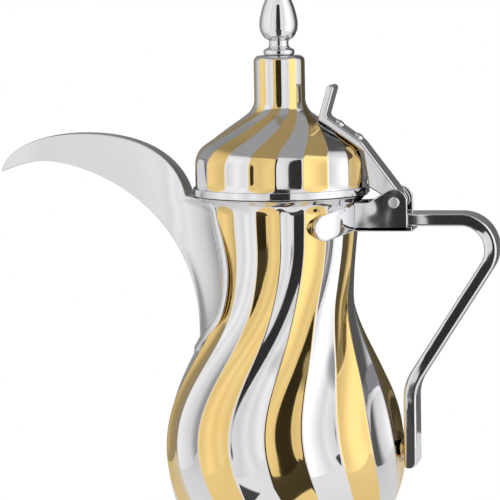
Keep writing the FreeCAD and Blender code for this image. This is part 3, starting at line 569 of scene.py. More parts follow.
outside = [lid_row(r, z, 0.0) for r, z in lid_line(0.0)]
inside = [lid_row(r, z, WALL) for r, z in lid_line(WALL)[::-1]]
lid = fluted_skin("lid", outside + inside, len(outside), LID_RIDGE, edge_low=(166.0, 1.4),
                  edge_high=(219.6, 0.0))
dress(lid, "lid", gilded_steel, "lid_shell", slot="steel_with_gold")

# %% [markdown]
# ## Band and skirt
# A plain band stiffens the lid's lower edge, and a skirt reaches down into the mouth so that the lid
# can't slide off. Both are rings, so both are spun from a closed outline. The band's edges are rounded,
# because a bright line along an edge is what tells the eye that it is thick.

# %% Band and skirt
BAND_RADIUS = 38.1
BAND_TOP_Z = LID_Z + BAND_HEIGHT
SKIRT_RADIUS = 31.8
SKIRT_LOW_Z = LID_Z - 5.0
CHAMFER = 0.2


def ring(name, section, columns):
    """Spin a closed outline, given once round."""
    return lathe(name, np.vstack((section, section[:1])), columns)


band_inside = LID_RADIUS + SOLDER_GAP
band_line = rounded([(band_inside, LID_Z, 0.1), (BAND_RADIUS, LID_Z, 0.35), (BAND_RADIUS, BAND_TOP_Z, 0.35),
                     (band_inside, BAND_TOP_Z, 0.1)], steps=6)
dress(ring("lid_band", band_line, 240), "lid", steel, "lid_rim_band")
flange = LID_RADIUS - WALL - SOLDER_GAP
bore = SKIRT_RADIUS - WALL
skirt_line = [(flange, LID_Z), (flange, LID_Z + WALL), (bore, LID_Z + WALL), (bore, SKIRT_LOW_Z + CHAMFER),
              (bore + CHAMFER, SKIRT_LOW_Z), (SKIRT_RADIUS - CHAMFER, SKIRT_LOW_Z),
              (SKIRT_RADIUS, SKIRT_LOW_Z + CHAMFER), (SKIRT_RADIUS, LID_Z)]
dress(ring("lid_skirt", skirt_line, 200), "lid", steel, "lid_skirt")

# %% [markdown]
# ## The finial
# A turned knob crowns the tower: a rounded collar, a short neck and a tall drop. A turner works by eye
# between a few measured diameters, and `through` does the same: it runs a smooth curve through diameters
# given at their heights. The stud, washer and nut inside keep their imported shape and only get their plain
# finish.

# %% Finial
STUD_BORE = 2.05
COLLAR_RADIUS = 6.7
COLLAR_HEIGHT = 3.2
KNOB_HEIGHT = 32.5
# Height above the tower and radius of the knob
KNOB = ((3.2, 4.9), (4.0, 4.3), (4.6, 4.15), (5.2, 4.15), (6.0, 4.2), (6.6, 4.5), (7.0, 5.2), (7.4, 5.9),
        (8.2, 6.7), (9.4, 7.4), (11.0, 8.0), (13.0, 8.25), (15.0, 8.15), (17.8, 7.6), (21.3, 6.6),
        (24.8, 5.15), (27.4, 3.95), (29.6, 2.85), (31.2, 1.85), (32.1, 1.0), (32.5, 0.02))


def through(knots, values, wanted):
    """Smooth curve through the values given at rising knots."""
    slopes = np.gradient(values, knots)
    spot = np.clip(np.searchsorted(knots, wanted, side="right") - 1, 0, len(knots) - 2)
    width = knots[spot + 1] - knots[spot]
    t = (wanted - knots[spot]) / width
    return ((2 * t ** 3 - 3 * t ** 2 + 1) * values[spot] + (t ** 3 - 2 * t ** 2 + t) * width * slopes[spot]
            + (3 * t ** 2 - 2 * t ** 3) * values[spot + 1] + (t ** 3 - t ** 2) * width * slopes[spot + 1])


collar_top = LID_TOP_Z + COLLAR_HEIGHT
collar_line = rounded([(STUD_BORE, LID_TOP_Z, 0), (COLLAR_RADIUS, LID_TOP_Z, 1.2),
                       (COLLAR_RADIUS, LID_TOP_Z + 2.4, 1.1), (5.0, collar_top, 0.8),
                       (STUD_BORE, collar_top, 0)])
dress(ring("finial_collar", collar_line, 96), "lid", steel, "finial_collar")
knob_z, knob_radius = np.array(KNOB).T
heights = np.linspace(COLLAR_HEIGHT, KNOB_HEIGHT, 120)
knob = np.column_stack((np.maximum(through(knob_z, knob_radius, heights), NEAR_AXIS), LID_TOP_Z + heights))
finial = lathe("finial_knob", np.vstack(([(STUD_BORE, collar_top)], knob)), 96)
dress(finial, "lid", steel, "finial")
for name in ("finial_stud", "finial_washer", "finial_nut"):
    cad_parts[name].data.materials.clear()
    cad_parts[name].data.materials.append(plain_steel)
    print(name, "keeps its packed shape")

# %% [markdown]
# ## The spout's lines
# The beak is a crescent between two curves: the keel below and the back above, which meet at the tip.
# Straight cross-sections fan out between them from the neck to the tip. `FAN` says where each one starts
# on the keel and ends on the back; the whole number picks a stretch of the curve and the rest is the
# share along it. `ROOT_SEAM` is the line where the spout is soldered to the vessel.

# %% Spout lines
TIP = (-124.5, 171.0)
KEEL_ROOT = (-36.5, 101.5)
KEEL_CREST = (-105.0, 176.0)
BACK_ROOT = (-40.5, 161.2)
BACK_CREST = (-87.2, 188.0)
keel_parts = [np.array([(-22.0, 92.2), (-36.9, 92.2), KEEL_ROOT]),
              bezier(KEEL_ROOT, (-36.5, 158.5), (-87.5, 176.0), KEEL_CREST, 60),
              bezier(KEEL_CREST, (-110.1, 176.0), (-119.2, 173.4), TIP, 30)]
back_parts = [np.array([(-11.7, 157.8), BACK_ROOT]),
              bezier(BACK_ROOT, (-47.2, 188.2), (-80.9, 188.0), BACK_CREST, 60),
              bezier(BACK_CREST, (-107.0, 188.0), (-121.7, 181.2), TIP, 30)]
keel_line = spread(np.vstack(([(-36.9, 62.0)], keel_parts[0][1:], *keel_parts[1:])), 0.5)
FAN = np.array([(0, 0), (0.5, 0.15), (1, 0.35), (1.10, 0.60), (1.20, 0.85), (1.28, 1.0), (1.36, 1.20),
                (1.45, 1.40), (1.60, 1.70), (1.80, 2.0), (2.0, 2.42), (2.3, 2.61), (2.6, 2.78), (2.96, 2.96)])
# Height and half width of the seam on the vessel
ROOT_SEAM = np.array([(92.6, 0), (94, 3.6), (97, 6.8), (101, 12.0), (106, 16.6), (118, 20.0), (134, 22.2),
                      (150, 21.2), (155, 20.4), (160, 19.8)])


def seam_half(height):
    """Half width of the root seam at one or more heights."""
    return through(ROOT_SEAM[:, 0], ROOT_SEAM[:, 1], height)


def at(parts, share):
    """Point along joined lines: the whole number picks the line, the rest is the share along it."""
    part = min(int(share), len(parts) - 1)
    line = parts[part]
    spot = (share - part) * (len(line) - 1)
    index = min(int(spot), len(line) - 2)
    return line[index] + (line[index + 1] - line[index]) * (spot - index)


print("the spout reaches", -TIP[0], "mm out and its seam is", 2 * ROOT_SEAM[:, 1].max(), "mm wide")

# %% [markdown]
# ## The spout's width
# A crescent that is simply as wide everywhere looks like a cookie cutter. The real sides are nearly flat,
# lean apart from the narrow keel, and flare where they meet the neck. The half width is therefore one
# smooth function of the place on the side: a wedge that grows with the distance from the keel, pulled out
# to the seam near the vessel.

# %% Spout width
KEEL_HALF = 3.3
SIDE_LEAN = 0.046
ROOT_LEAN = 0.098
TIP_NARROWING = 0.5
TIP_LENGTH = 19.0
FLARE_END = 56.0
FLARE_EASE = 2.5
SEAM_LOW_Z = 93.0
SEAM_HIGH_Z = 160.0


def spout_half(x, z):
    """Half width at places on the side."""
    depth = np.hypot(x[:, None] - keel_line[:, 0], z[:, None] - keel_line[:, 1]).min(axis=1)
    outward = np.clip((BACK_ROOT[0] - x) / (BACK_ROOT[0] - BACK_CREST[0]), -0.1, 1.0)
    wedge = KEEL_HALF + (SIDE_LEAN + ROOT_LEAN * (1 - outward) ** 2) * depth
    wedge *= 1 - TIP_NARROWING * np.clip((KEEL_CREST[0] - x) / TIP_LENGTH, 0.0, 1.0) ** 2
    height = np.clip(z, SEAM_LOW_Z, SEAM_HIGH_Z)
    seam = seam_half(height)
    seam_x = np.sqrt(np.maximum(vessel_radius(height) ** 2 - seam ** 2, 1.0))
    pull = np.clip((FLARE_END + x) / (FLARE_END - seam_x), 0.0, 1.0) ** 3
    pull *= 1 - np.exp(-(depth / FLARE_EASE) ** 2)
    return wedge + np.maximum(seam - wedge, 0.0) * pull


def vessel_skin(x, y, z):
    """Outside radius of the vessel at a point's height and bearing."""
    radius, _, depth, turn = vessel_row(z, vessel_radius(z))
    delta = (math.atan2(y, x) - turn + HALF_FLUTE) % (2 * HALF_FLUTE) - HALF_FLUTE
    return radius - depth * float(flute_fall(np.array(delta / HALF_FLUTE), RIDGE))


print("half width at the back's crest", round(float(spout_half(*np.array([BACK_CREST]).T)[0]), 2), "mm")

# %% [markdown]
# ## The spout
# Each cross-section becomes a ring: up one side, over the back and down the other side, with a small
# round along both edges. Points that would lie inside the vessel are pressed into its wall, so the flared
# root follows the flutes without a gap. A slot in the keel is left open for pouring, and a Solidify
# modifier gives the sheet its thickness.

# %% Spout
EDGE_ROUND = 0.7
EDGE_SHARES = np.array([0.0, 0.06, 0.25, 0.6, 1.0])
SLOT_START = -105.5
SLOT_END = -114.5
MIRROR = np.array((1, -1, 1))
ONTO_MIDDLE = np.array((1, 0, 1))


def spout_ring(keel, back):
    """Closed ring of points round the cross-section between a point of the keel and one of the back."""
    length = np.linalg.norm(back - keel)
    soft = min(EDGE_ROUND, 0.3 * length)
    up = np.concatenate((EDGE_SHARES * soft, soft + (length - 2 * soft) * np.linspace(0, 1, 25)[1:-1],
                         length - EDGE_SHARES[::-1] * soft))
    x, z = (keel + (back - keel) * (up / length)[:, None]).T
    nearest = np.minimum(up, length - up)
    arc = soft - np.sqrt(np.clip(soft ** 2 - (soft - nearest) ** 2, 0, None))
    side = np.column_stack((x, spout_half(x, z) - np.where(nearest < soft, arc, 0.0), z))
    return np.vstack((side[:1] * ONTO_MIDDLE, side, side[-1:] * ONTO_MIDDLE, side[::-1] * MIRROR))


steps = np.linspace(0, len(FAN) - 1, 241)
keels = [at(keel_parts, np.interp(step, range(len(FAN)), FAN[:, 0])) for step in steps]
backs = [at(back_parts, np.interp(step, range(len(FAN)), FAN[:, 1])) for step in steps]
rings = [spout_ring(keel, back) for keel, back in zip(keels, backs)]
columns = len(rings[0])
points = np.vstack(rings)
seat = np.array([vessel_skin(*point) - WALL / 2 for point in points])
apart = np.hypot(points[:, 0], points[:, 1])
buried = apart < seat
points[buried, :2] *= (seat / apart)[buried][:, None]
faces = []
for face in grid_faces(len(rings), columns):
    on_keel = face[0] % columns in (0, columns - 1)
    in_slot = on_keel and SLOT_END < keels[face[0] // columns][0] < SLOT_START
    if not in_slot and not all(buried[corner] for corner in face):
        faces.append(face)
faces.append(tuple((len(rings) - 1) * columns + index for index in range(columns)))
spout = fix_normals(new_piece("spout", points, faces))
shell = spout.modifiers.new("wall", "SOLIDIFY")
shell.thickness = WALL * MM
shell.offset = -1.0
print(int(buried.sum()), "points are pressed into the vessel's wall")
dress(spout, "pot", satin_steel, "spout_left_half", "spout_right_half")

# %% [markdown]
# ## The root bead
# Where the spout is soldered on, a flat polished bead covers the joint on both sides and closes below the
# keel. It could be a curve with a bevel, but a flat bead has to lie on the vessel, so its section is laid
# out: one direction along the seam, one out of the vessel and one across.

# %% Root bead
BEAD_HALF = 2.0
BEAD_RISE = 0.75
BEAD_FLATNESS = 0.55
BEAD_LOW_Z = 92.6
BEAD_HIGH_Z = 158.5
BEAD_APART = 1.5
BEAD_SIDES = 24

bead_z = np.linspace(BEAD_LOW_Z, BEAD_HIGH_Z, 110)
bead_half = seam_half(bead_z) + BEAD_APART * np.sqrt(np.clip((bead_z - BEAD_LOW_Z) / 4.0, 0, 1))
crest = vessel_radius(bead_z)
bead_x = -np.sqrt(np.maximum(crest ** 2 - bead_half ** 2, 1.0))
beads = []
for side in (-1, 1):
    line = np.column_stack((bead_x, side * bead_half, bead_z))
    tangent = np.gradient(line, axis=0)
    tangent /= np.linalg.norm(tangent, axis=1)[:, None]
    out = line * np.array((1, 1, 0)) / crest[:, None]
    across = np.cross(tangent, out)
    tube = []
    for angle in np.linspace(0, 2 * math.pi, BEAD_SIDES, endpoint=False):
        wide = math.copysign(abs(math.cos(angle)) ** BEAD_FLATNESS, math.cos(angle))
        tube.append(line + across * BEAD_HALF * wide + out * BEAD_RISE * math.sin(angle))
    tube = np.stack(tube, axis=1).reshape(-1, 3)
    beads.append(fix_normals(new_piece(f"bead_{side}", tube, grid_faces(len(line), BEAD_SIDES))))
bead = join("spout_bead", beads)
bead.data.materials.append(steel)
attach(bead, "pot")
print("bead half widths", [round(float(half), 1) for half in bead_half[::18]])

# %% [markdown]
# ## The saddle
# A curved strip with round ends hugs the back of the neck and carries the hinge. On the bench it is a
# flat strip bent round a former; here a rounded section is carried round the neck, sinking a little
# towards the ends, and its height follows a half circle at each end.

# %% Saddle
SADDLE_REACH = 34.8
SADDLE_MIDDLE = 33.6
SADDLE_HALF_SHEET = 1.2
SADDLE_HALF_HEIGHT = 5.7
SADDLE_Z = 152.3
ARM_TURN = math.radians(47.0)
ARM_SLOPE = math.tan(math.radians(18.0))
END_TURN = 0.163

quarter = np.linspace(0, math.pi / 2, 14)
turns = np.concatenate((-ARM_TURN - END_TURN * np.cos(quarter), np.linspace(-ARM_TURN, ARM_TURN, 60)[1:-1],
                        ARM_TURN + END_TURN * np.sin(quarter)))
section = rounded([(-1, -1, 0.30), (1, -1, 0.30), (1, 1, 0.45), (-1, 1, 0.45)], steps=5)
vertices = []
for turn in turns:
    past_arm = max(0.0, abs(turn) - ARM_TURN) * SADDLE_REACH
    half = math.sqrt(max(SADDLE_HALF_HEIGHT ** 2 - past_arm ** 2, 0.01))
    sink = SADDLE_REACH - SADDLE_REACH * math.cos(min(abs(turn), ARM_TURN))
    for up_share, out_share in section:
        radius = SADDLE_MIDDLE + SADDLE_HALF_SHEET * out_share
        vertices.append((radius * math.cos(turn), radius * math.sin(turn),
                         SADDLE_Z - sink * ARM_SLOPE + half * up_share))
saddle = fix_normals(new_piece("neck_saddle", vertices, capped_faces(len(turns), len(section))))
dress(saddle, "pot", steel, "neck_saddle")

# %% [markdown]
# ## The hinge bracket
# A channel with two upright cheeks stands on the saddle; its ears hold the hinge pin. Flat pieces like
# these are cut from sheet, so `plate` gives a flat outline its thickness and a Bevel modifier softens the
# edges. Perfectly sharp edges catch no light and look false.

# %% Hinge bracket
BRACKET_START = 33.0
BRACKET_LOW_Z = 145.85
EAR_END = 55.9
EAR_TOP_Z = 163.8
CHEEK = 1.7
BRACKET_HALF = 10.0
FLOOR_END = 57.9
FLOOR_SHEET = 2.0


def plate(name, shape, low_y, high_y, edge):
    """Flat outline in the upright plane, given a thickness across it and soft edges."""
    count = len(shape)
    near = [(x, low_y, z) for x, z in shape]
    far = [(x, high_y, z) for x, z in shape]
    faces = [tuple(range(count)), tuple(range(2 * count - 1, count - 1, -1))]
    for index in range(count):
        after = (index + 1) % count
        faces.append((index, index + count, after + count, after))
    piece = fix_normals(new_piece(name, near + far, faces))
    bevel = piece.modifiers.new("soft_edges", "BEVEL")
    bevel.width = edge * MM
    bevel.segments = 3
    bevel.limit_method = "ANGLE"
    bevel.angle_limit = math.radians(40)
    bevel.harden_normals = True
    return piece


cheek = rounded([(BRACKET_START, BRACKET_LOW_Z, 0), (EAR_END, BRACKET_LOW_Z, 1.2), (EAR_END, EAR_TOP_Z, 5.4),
                 (48.0, EAR_TOP_Z, 4.0), (39.3, HINGE_Z, 2.0), (BRACKET_START, 158.0, 0)])
cheeks = []
for low_y in (-BRACKET_HALF, BRACKET_HALF - CHEEK):
    cheeks.append(plate(f"cheek_{len(cheeks)}", cheek, low_y, low_y + CHEEK, 0.5))
floor_top = BRACKET_LOW_Z + FLOOR_SHEET
floor_line = rounded([(BRACKET_START, BRACKET_LOW_Z, 0), (FLOOR_END, BRACKET_LOW_Z, 0.5),
                      (FLOOR_END, floor_top, 0.5), (BRACKET_START, floor_top, 0)])
floor_plate = plate("bracket_floor", floor_line, -BRACKET_HALF, BRACKET_HALF, 0.4)
bracket = join("hinge_bracket_skin", cheeks + [floor_plate])
dress(bracket, "pot", forged_steel, "hinge_bracket")

# %% [markdown]
# ## The hinge pin
# The pin is a plain rod whose two ends were hammered into heads outside the ears. It is turned upright on
# the lathe and then laid across the pot, at the axis round which the lid swings.

# %% Hinge pin
PIN_RADIUS = 1.6
PIN_HEAD = 2.4
PIN_END = BRACKET_HALF + 1.0

pin_line = rounded([(NEAR_AXIS, PIN_END, 0), (PIN_HEAD, PIN_END, 0.8), (PIN_HEAD, BRACKET_HALF, 0),
                    (PIN_RADIUS, BRACKET_HALF, 0), (PIN_RADIUS, -BRACKET_HALF, 0),
                    (PIN_HEAD, -BRACKET_HALF, 0), (PIN_HEAD, -PIN_END, 0.8), (NEAR_AXIS, -PIN_END, 0)],
                   closed=False)
pin = lathe("hinge_pin_skin", pin_line, 48)
place(pin, Matrix.Translation((HINGE_X * MM, 0, HINGE_Z * MM)) @ Matrix.Rotation(-math.pi / 2, 4, "X"))
dress(pin, "pot", hammered_steel, "hinge_pin")

# %% [markdown]
# ## The handle's line
# The handle is one flat bar: out of the bracket, round a bend, down a slanted grip and along the belly to a
# rounded toe. A smith bends such a bar round posts of a known radius, and `rounded` does the same with its
# middle line. The last points lie close together, to make room for the rounding of the toe.

# %% Handle line
BAR_HALF = 2.75
BAR_HALF_WIDTH = 8.3
BAR_EDGE = 1.1
BAR_Z = 150.6
BAR_START = 42.3
GRIP_LEAN = math.radians(33.0)
GRIP_BEND = 13.0
HEEL_BEND = 20.0
HANDLE_STAND = 0.8
HANDLE_REACH = 93.8
TOE_Z = 43.5
TOE_ROUND = 2.6
TOE_EDGE = 1.0
TOE_STEPS = (2.0, 1.5, 1.0, 0.7, 0.45, 0.25, 0.1, 0.0)

run_x = BELLY_RADIUS + HANDLE_STAND + BAR_HALF
bend_x = HANDLE_REACH - BAR_HALF + GRIP_BEND * (1 / math.tan((math.pi / 2 - GRIP_LEAN) / 2) - 1)
heel_z = BAR_Z - (bend_x - run_x) / math.tan(GRIP_LEAN)
line = rounded([(BAR_START, BAR_Z, 0), (bend_x, BAR_Z, GRIP_BEND), (run_x, heel_z, HEEL_BEND),
                (run_x, TOE_Z + TOE_ROUND, 0)], closed=False, steps=24)
line = np.vstack((spread(line, 0.8), [(run_x, TOE_Z + step) for step in TOE_STEPS]))
ahead = np.gradient(line, axis=0)
ahead /= np.linalg.norm(ahead, axis=1)[:, None]
section = rounded([(-BAR_HALF, -BAR_HALF_WIDTH, BAR_EDGE), (BAR_HALF, -BAR_HALF_WIDTH, BAR_EDGE),
                   (BAR_HALF, BAR_HALF_WIDTH, BAR_EDGE), (-BAR_HALF, BAR_HALF_WIDTH, BAR_EDGE)], steps=6)
section = spread(np.vstack((section, section[:1])), 0.9)[:-1]
print("the bar is", round(float(np.linalg.norm(np.diff(line, axis=0), axis=1).sum())), "mm long")

# %% [markdown]
# ## The handle
# A rounded section is swept along that line. A curve with a bevel could do this too, but its section couldn't
# change on the way. Here the toe is rounded by drawing the section in, and at three places the sides lean a
# little, because a hand-forged bar is never quite even. That breaks the reflections as on the real one.

# %% Handle
# Where the sides lean: place, slope and size
HAMMERED = ((62.0, BAR_Z, 0.05, 8.0), (90.0, 141.0, 0.11, 9.0), (run_x, heel_z + 1.0, 0.07, 9.0))


def rounding(depth, radius):
    """How far a rounded end draws in at a depth from the end."""
    inside = max(radius - depth, 0.0)
    return radius - math.sqrt(radius ** 2 - inside ** 2)


vertices = []
for (x, z), (go_x, go_z) in zip(line, ahead):
    outer = BAR_HALF - rounding(z - TOE_Z, TOE_ROUND)
    inner = -BAR_HALF + rounding(z - TOE_Z, TOE_EDGE)
    across = inner + (section[:, 0] + BAR_HALF) * (outer - inner) / (2 * BAR_HALF)
    at_x = x - go_z * across
    at_z = z + go_x * across
    swell = np.zeros(len(section))
    for spot_x, spot_z, slope, size in HAMMERED:
        near = ((at_x - spot_x) ** 2 + (at_z - spot_z) ** 2) / size ** 2
        swell += slope * (at_x - spot_x) * np.exp(-near)
    vertices.append(np.column_stack((at_x, section[:, 1] * (1 + swell / BAR_HALF_WIDTH), at_z)))
handle = new_piece("handle_bar", np.vstack(vertices), capped_faces(len(line), len(section)))
dress(fix_normals(handle), "pot", forged_steel, "handle")

# %% [markdown]
# ## The handle's lug
# A short post carries the handle's lower end on the belly. It is a plain cylinder, turned on the lathe
# and laid on its side; its ends are hidden in the vessel's wall and behind the bar.

# %% Handle lug
LUG_RADIUS = 4.0
LUG_START = 44.0
LUG_END = 53.0
LUG_Z = 51.0

lug = lathe("handle_lug_skin", [(NEAR_AXIS, LUG_START), (LUG_RADIUS, LUG_START), (LUG_RADIUS, LUG_END),
                                (NEAR_AXIS, LUG_END)], 48)
place(lug, Matrix.Translation((0, 0, LUG_Z * MM)) @ Matrix.Rotation(math.pi / 2, 4, "Y"))
dress(lug, "pot", steel, "handle_lug")

# %% [markdown]
# ## The strap and the thumb lever
# One bent strap does three jobs: it ends above in the lever that the thumb pushes, lies on the cone, and
# is rolled below into the knuckle round the pin. Its side view has all of that, so it is one outline with
# a thickness. The real strap is a little narrower at the lever, so the points are drawn in with their
# distance from the knuckle.

# %% Strap
STRAP_HALF = 8.0
STRAP_SHEET = 3.2
STRAP_START = 17.4
STRAP_BED = -0.3
STRAP_TAPER = 0.0045
SHOULDER_X = 36.0
SHOULDER_BEND = 12.0
CONE_END = 36.7
LEVER_HEIGHT = 14.5
LEVER_LEAN = math.radians(16.5)
LEVER_ROOT = 21.1
LEVER_TIP = 3.34
LEVER_ROUND = 1.55
KNUCKLE_RADIUS = 4.3

lever_x = STRAP_START + LEVER_HEIGHT * math.tan(LEVER_LEAN)
lever_z = cone_height(STRAP_START, 0) + LEVER_HEIGHT
start = (STRAP_START, cone_height(STRAP_START, STRAP_BED))
knuckle = [(HINGE_X + KNUCKLE_RADIUS * math.cos(angle), HINGE_Z + KNUCKLE_RADIUS * math.sin(angle))
           for angle in np.linspace(0.6, -3.6, 22)]
underside = rounded([(*start, 0), (CONE_END, cone_height(CONE_END, STRAP_BED), 0), (39.1, BAND_TOP_Z, 0)],
                    closed=False)
upper = rounded([(*knuckle[0], 0), (SHOULDER_X, cone_height(SHOULDER_X, STRAP_SHEET), SHOULDER_BEND),
                 (LEVER_ROOT, cone_height(LEVER_ROOT, STRAP_SHEET), 1.8),
                 (lever_x + LEVER_TIP, lever_z, LEVER_ROUND), (lever_x, lever_z, LEVER_ROUND), (*start, 0)],
                closed=False)
strap_line = np.vstack((underside, np.array(knuckle)[::-1], upper[1:-1]))
strap = plate("lid_strap_skin", strap_line, -STRAP_HALF, STRAP_HALF, 0.9)
for vertex in strap.data.vertices:
    vertex.co.y *= 1 - STRAP_TAPER * (HINGE_X + KNUCKLE_RADIUS - vertex.co.x / MM)
dress(strap, "lid", forged_steel, "lid_strap")

# %% [markdown]
# ## Rivets and washers
# Two domed rivets hold the strap on the cone, each closed inside the lid over a washer. They are turned
# upright and then stood on the slope by one matrix, which moves and tilts rivet and washer together.

# %% Rivets and washers
RIVET_RADIUS = 1.5
RIVET_HEAD = 2.4
RIVET_DOME = 1.3
TAIL_RADIUS = 2.04
TAIL_END = -6.68
WASHER_LOW = -5.9
WASHER_TOP = -5.3
WASHER_RADIUS = 3.2
WASHER_BORE = 1.55
FIRST_RIVET = 24.2
RIVET_PITCH = 10.0

dome = [(RIVET_HEAD * math.cos(angle), RIVET_DOME * math.sin(angle))
        for angle in np.linspace(math.pi / 2 - 0.01, 0, 12)]
shank = [(RIVET_RADIUS, -0.05), (RIVET_RADIUS, WASHER_LOW), (TAIL_RADIUS, WASHER_LOW),
         (TAIL_RADIUS, TAIL_END), (NEAR_AXIS, TAIL_END)]
washer_line = [(WASHER_BORE, WASHER_LOW), (WASHER_RADIUS, WASHER_LOW), (WASHER_RADIUS, WASHER_TOP),
               (WASHER_BORE, WASHER_TOP)]
rivets = []
washers = []
for rivet_x in (FIRST_RIVET, FIRST_RIVET + RIVET_PITCH * math.cos(CONE_PITCH)):
    foot_x = rivet_x + STRAP_SHEET * math.sin(CONE_PITCH)
    foot_z = cone_height(rivet_x, 0) + STRAP_SHEET * math.cos(CONE_PITCH)
    stand = Matrix.Translation((foot_x * MM, 0, foot_z * MM)) @ Matrix.Rotation(CONE_PITCH, 4, "Y")
    rivets.append(place(lathe(f"rivet_{len(rivets)}", dome + shank, 40), stand))
    washers.append(place(ring(f"washer_{len(washers)}", washer_line, 40), stand))
dress(join("strap_rivet_heads", rivets), "lid", steel, "strap_rivets")
dress(join("rivet_washer_rings", washers), "lid", plain_steel, "rivet_washers", slot="plain_steel")

# %% [markdown]
# ## The floor
# A pale paper floor carries the soft shadow. Far from the pot it has to melt into the white background,
# so the camera sees it fade to plain white. Reflections in the metal see it glow in front of the pot and
# darken behind it, as a floor between a bright front and a dim back of the room does.

# %% Floor
PURE_WHITE = (1, 1, 1, 1)
FLOOR_RADIUS = 0.36
FLOOR_Z = -0.0002
FADE = (0.045, 0.12)
NEAR_WHITE = 0.25
GLOW_REACH = 0.10
BACK_GLOW = 0.42
FRONT_GLOW = 0.94
towards_camera = (math.sin(FACING), -math.cos(FACING), 0)

bpy.ops.mesh.primitive_circle_add(vertices=96, radius=FLOOR_RADIUS, fill_type="NGON",
                                  location=(0, 0, FLOOR_Z))
floor = bpy.context.object
floor.name = "floor"
paper = bpy.data.materials.new("floor_paper")
paper.use_nodes = True
tree = paper.node_tree
tree.nodes.clear()
rays = add_node(tree, "ShaderNodeLightPath")
spot = add_node(tree, "ShaderNodeTexCoord").outputs["Object"]
away = add_node(tree, "ShaderNodeVectorMath", {0: spot}, operation="LENGTH").outputs["Value"]
fade = add_node(tree, "ShaderNodeMapRange", {"Value": away, "From Min": FADE[0], "From Max": FADE[1],
                                             "To Min": NEAR_WHITE}).outputs["Result"]
seen = add_node(tree, "ShaderNodeMath", {0: fade, 1: rays.outputs["Is Camera Ray"]}, operation="MULTIPLY")
front = add_node(tree, "ShaderNodeVectorMath", {0: spot, 1: towards_camera}, operation="DOT_PRODUCT")
glow = add_node(tree, "ShaderNodeMapRange", {"Value": front.outputs["Value"], "From Min": -GLOW_REACH,
                                             "From Max": GLOW_REACH, "To Min": BACK_GLOW,
                                             "To Max": FRONT_GLOW})
mirrored = add_node(tree, "ShaderNodeMath", {0: rays.outputs["Is Glossy Ray"], 1: glow.outputs["Result"]},
                    operation="MULTIPLY")
share = add_node(tree, "ShaderNodeMath", {0: seen.outputs[0], 1: mirrored.outputs[0]}, operation="MAXIMUM")
matte = add_node(tree, "ShaderNodeBsdfDiffuse", {"Color": linear("#F4F4F3")})
white = add_node(tree, "ShaderNodeEmission", {"Color": PURE_WHITE, "Strength": 1.0})
both = add_node(tree, "ShaderNodeMixShader", {0: share.outputs[0], 1: matte.outputs[0], 2: white.outputs[0]})
add_node(tree, "ShaderNodeOutputMaterial", {"Surface": both.outputs[0]})
floor.data.materials.append(paper)
print("floor of", len(floor.data.vertices), "points with", len(tree.nodes), "nodes")

# %% [markdown]
# ## The dark card
# Photographers place dark cards before shiny metal, because a mirror in an all-white tent looks flat.
# Each hollow flute catches the card as one dark strip. It is only there for reflections: the camera and
# the shadows don't see it.

# %% Dark card
CARD_AHEAD = 450.0
CARD_FRONT = ((-122, -300), (80, -300), (80, 620), (-122, 620))
CARD_TABLE = ((-45, 105), (50, 105), (140, CARD_AHEAD), (-160, CARD_AHEAD))


def before_camera(right, ahead, up):
    """A point before the pot, as the camera sees it: to the right, towards the camera, up."""
    return (right * math.cos(FACING) + ahead * math.sin(FACING),
            right * math.sin(FACING) - ahead * math.cos(FACING), up)


corners = [before_camera(x, CARD_AHEAD, z) for x, z in CARD_FRONT]
corners += [before_camera(x, ahead, 0.4) for x, ahead in CARD_TABLE]
card = new_piece("dark_card", corners, [(0, 1, 2, 3), (4, 5, 6, 7)])
black = bpy.data.materials.new("card_black")
black.use_nodes = True
black.node_tree.nodes["Principled BSDF"].inputs["Base Color"].default_value = linear("#505050")
black.node_tree.nodes["Principled BSDF"].inputs["Roughness"].default_value = 0.9
card.data.materials.append(black)
card.visible_camera = False
card.visible_diffuse = False
card.visible_shadow = False
print("the card stands", CARD_AHEAD, "mm before the pot")

# %% [markdown]
# ## The room
# Everything else that the metal mirrors is the room: a white tent with softer and brighter panels round
# the pot, a dim back and a grey ceiling. Lamps would show as spots on a mirror, so the room is painted
# into the world, as a brightness for each bearing. The camera itself sees plain white at strength 1.

# %% Room
CEILING = (0.40, 0.40, 0.41, 1)
# Bearing in degrees, with 0 at the camera and the right hand positive, and brightness
PANORAMA = ((-180, .24), (-130, .40), (-114, .80), (-100, .92), (-86, 1.08), (-74, .95), (-62, 1.14),
            (-48, .88), (-36, 1.04), (-24, .84), (-12, .95), (12, .90), (22, 1.04), (32, .90), (42, 1.1),
            (56, 1.4), (74, 1.4), (90, 1.0), (106, .80), (118, .12), (150, .10), (180, .24))
CEILING_EDGE = (0.70, 0.77)
towards_right = (math.cos(FACING), math.sin(FACING), 0)

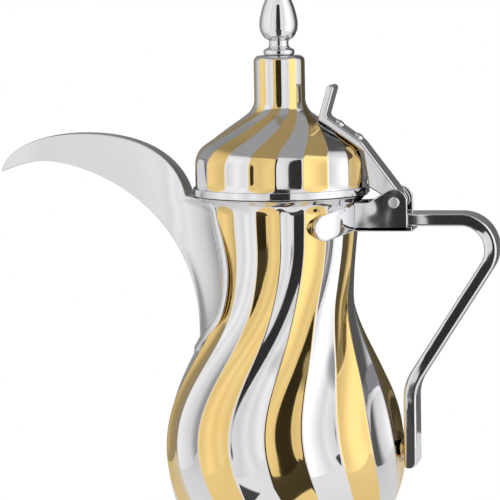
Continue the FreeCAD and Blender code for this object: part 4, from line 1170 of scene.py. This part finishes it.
world = bpy.data.worlds.new("studio")
bpy.context.scene.world = world
world.use_nodes = True
tree = world.node_tree
tree.nodes.clear()
look = add_node(tree, "ShaderNodeTexCoord").outputs["Generated"]
front = add_node(tree, "ShaderNodeVectorMath", {0: look, 1: towards_camera}, operation="DOT_PRODUCT")
right = add_node(tree, "ShaderNodeVectorMath", {0: look, 1: towards_right}, operation="DOT_PRODUCT")
bearing = add_node(tree, "ShaderNodeMath", {0: right.outputs["Value"], 1: front.outputs["Value"]},
                   operation="ARCTAN2")
around = add_node(tree, "ShaderNodeMapRange", {"Value": bearing.outputs[0], "From Min": -math.pi,
                                               "From Max": math.pi})
panels = add_node(tree, "ShaderNodeValToRGB", {"Fac": around.outputs["Result"]})
stops = panels.color_ramp.elements
while len(stops) < len(PANORAMA):
    stops.new(0.5)
for stop, (degrees, brightness) in zip(stops, PANORAMA):
    stop.position = (degrees + 180) / 360
    stop.color = (brightness, brightness, brightness, 1.0)
height = add_node(tree, "ShaderNodeSeparateXYZ", {0: look}).outputs["Z"]
upward = add_node(tree, "ShaderNodeMapRange", {"Value": height, "From Min": CEILING_EDGE[0],
                                               "From Max": CEILING_EDGE[1]}).outputs["Result"]
room = add_node(tree, "ShaderNodeMix", {"Factor": upward, "A": panels.outputs["Color"], "B": CEILING},
                data_type="RGBA").outputs["Result"]
rays = add_node(tree, "ShaderNodeLightPath")
plain = add_node(tree, "ShaderNodeMix", {"Factor": rays.outputs["Is Camera Ray"], "A": room, "B": PURE_WHITE},
                 data_type="RGBA").outputs["Result"]
backdrop = add_node(tree, "ShaderNodeBackground", {"Color": plain, "Strength": 1.0})
add_node(tree, "ShaderNodeOutputWorld", {"Surface": backdrop.outputs[0]})
print("room painted with", len(stops), "bearings")

# %% [markdown]
# ## The camera
# A long lens stands a little above the pot and slightly to the handle's side, and is rolled by about a
# degree. From that far away the sides of the pot stay nearly parallel, as in the photograph. The frame
# cuts the foot and the tip of the finial there too.

# %% Camera
PITCH = math.radians(6.0)
ROLL = math.radians(1.05)
AIM_Z = 136.8
DISTANCE = 1.2958
SHIFT = 0.0140

back = Vector((math.sin(FACING) * math.cos(PITCH), -math.cos(FACING) * math.cos(PITCH), math.sin(PITCH)))
level = Vector((math.cos(FACING), math.sin(FACING), 0))
upright = back.cross(level)
side = level * math.cos(ROLL) - upright * math.sin(ROLL)
top = level * math.sin(ROLL) + upright * math.cos(ROLL)
lens = bpy.data.cameras.new("camera")
lens.sensor_width = 36.0
lens.lens = 216.0
lens.clip_end = 100.0
camera = bpy.data.objects.new("camera", lens)
bpy.context.scene.collection.objects.link(camera)
bpy.context.scene.camera = camera
eye = Vector((0, 0, AIM_Z * MM)) + back * DISTANCE - side * SHIFT
camera.matrix_world = Matrix.Translation(eye) @ Matrix((side, top, back)).transposed().to_4x4()
bpy.context.scene.view_settings.view_transform = "Standard"
print("camera", round(eye.length, 3), "m away with a lens of", lens.lens, "mm")
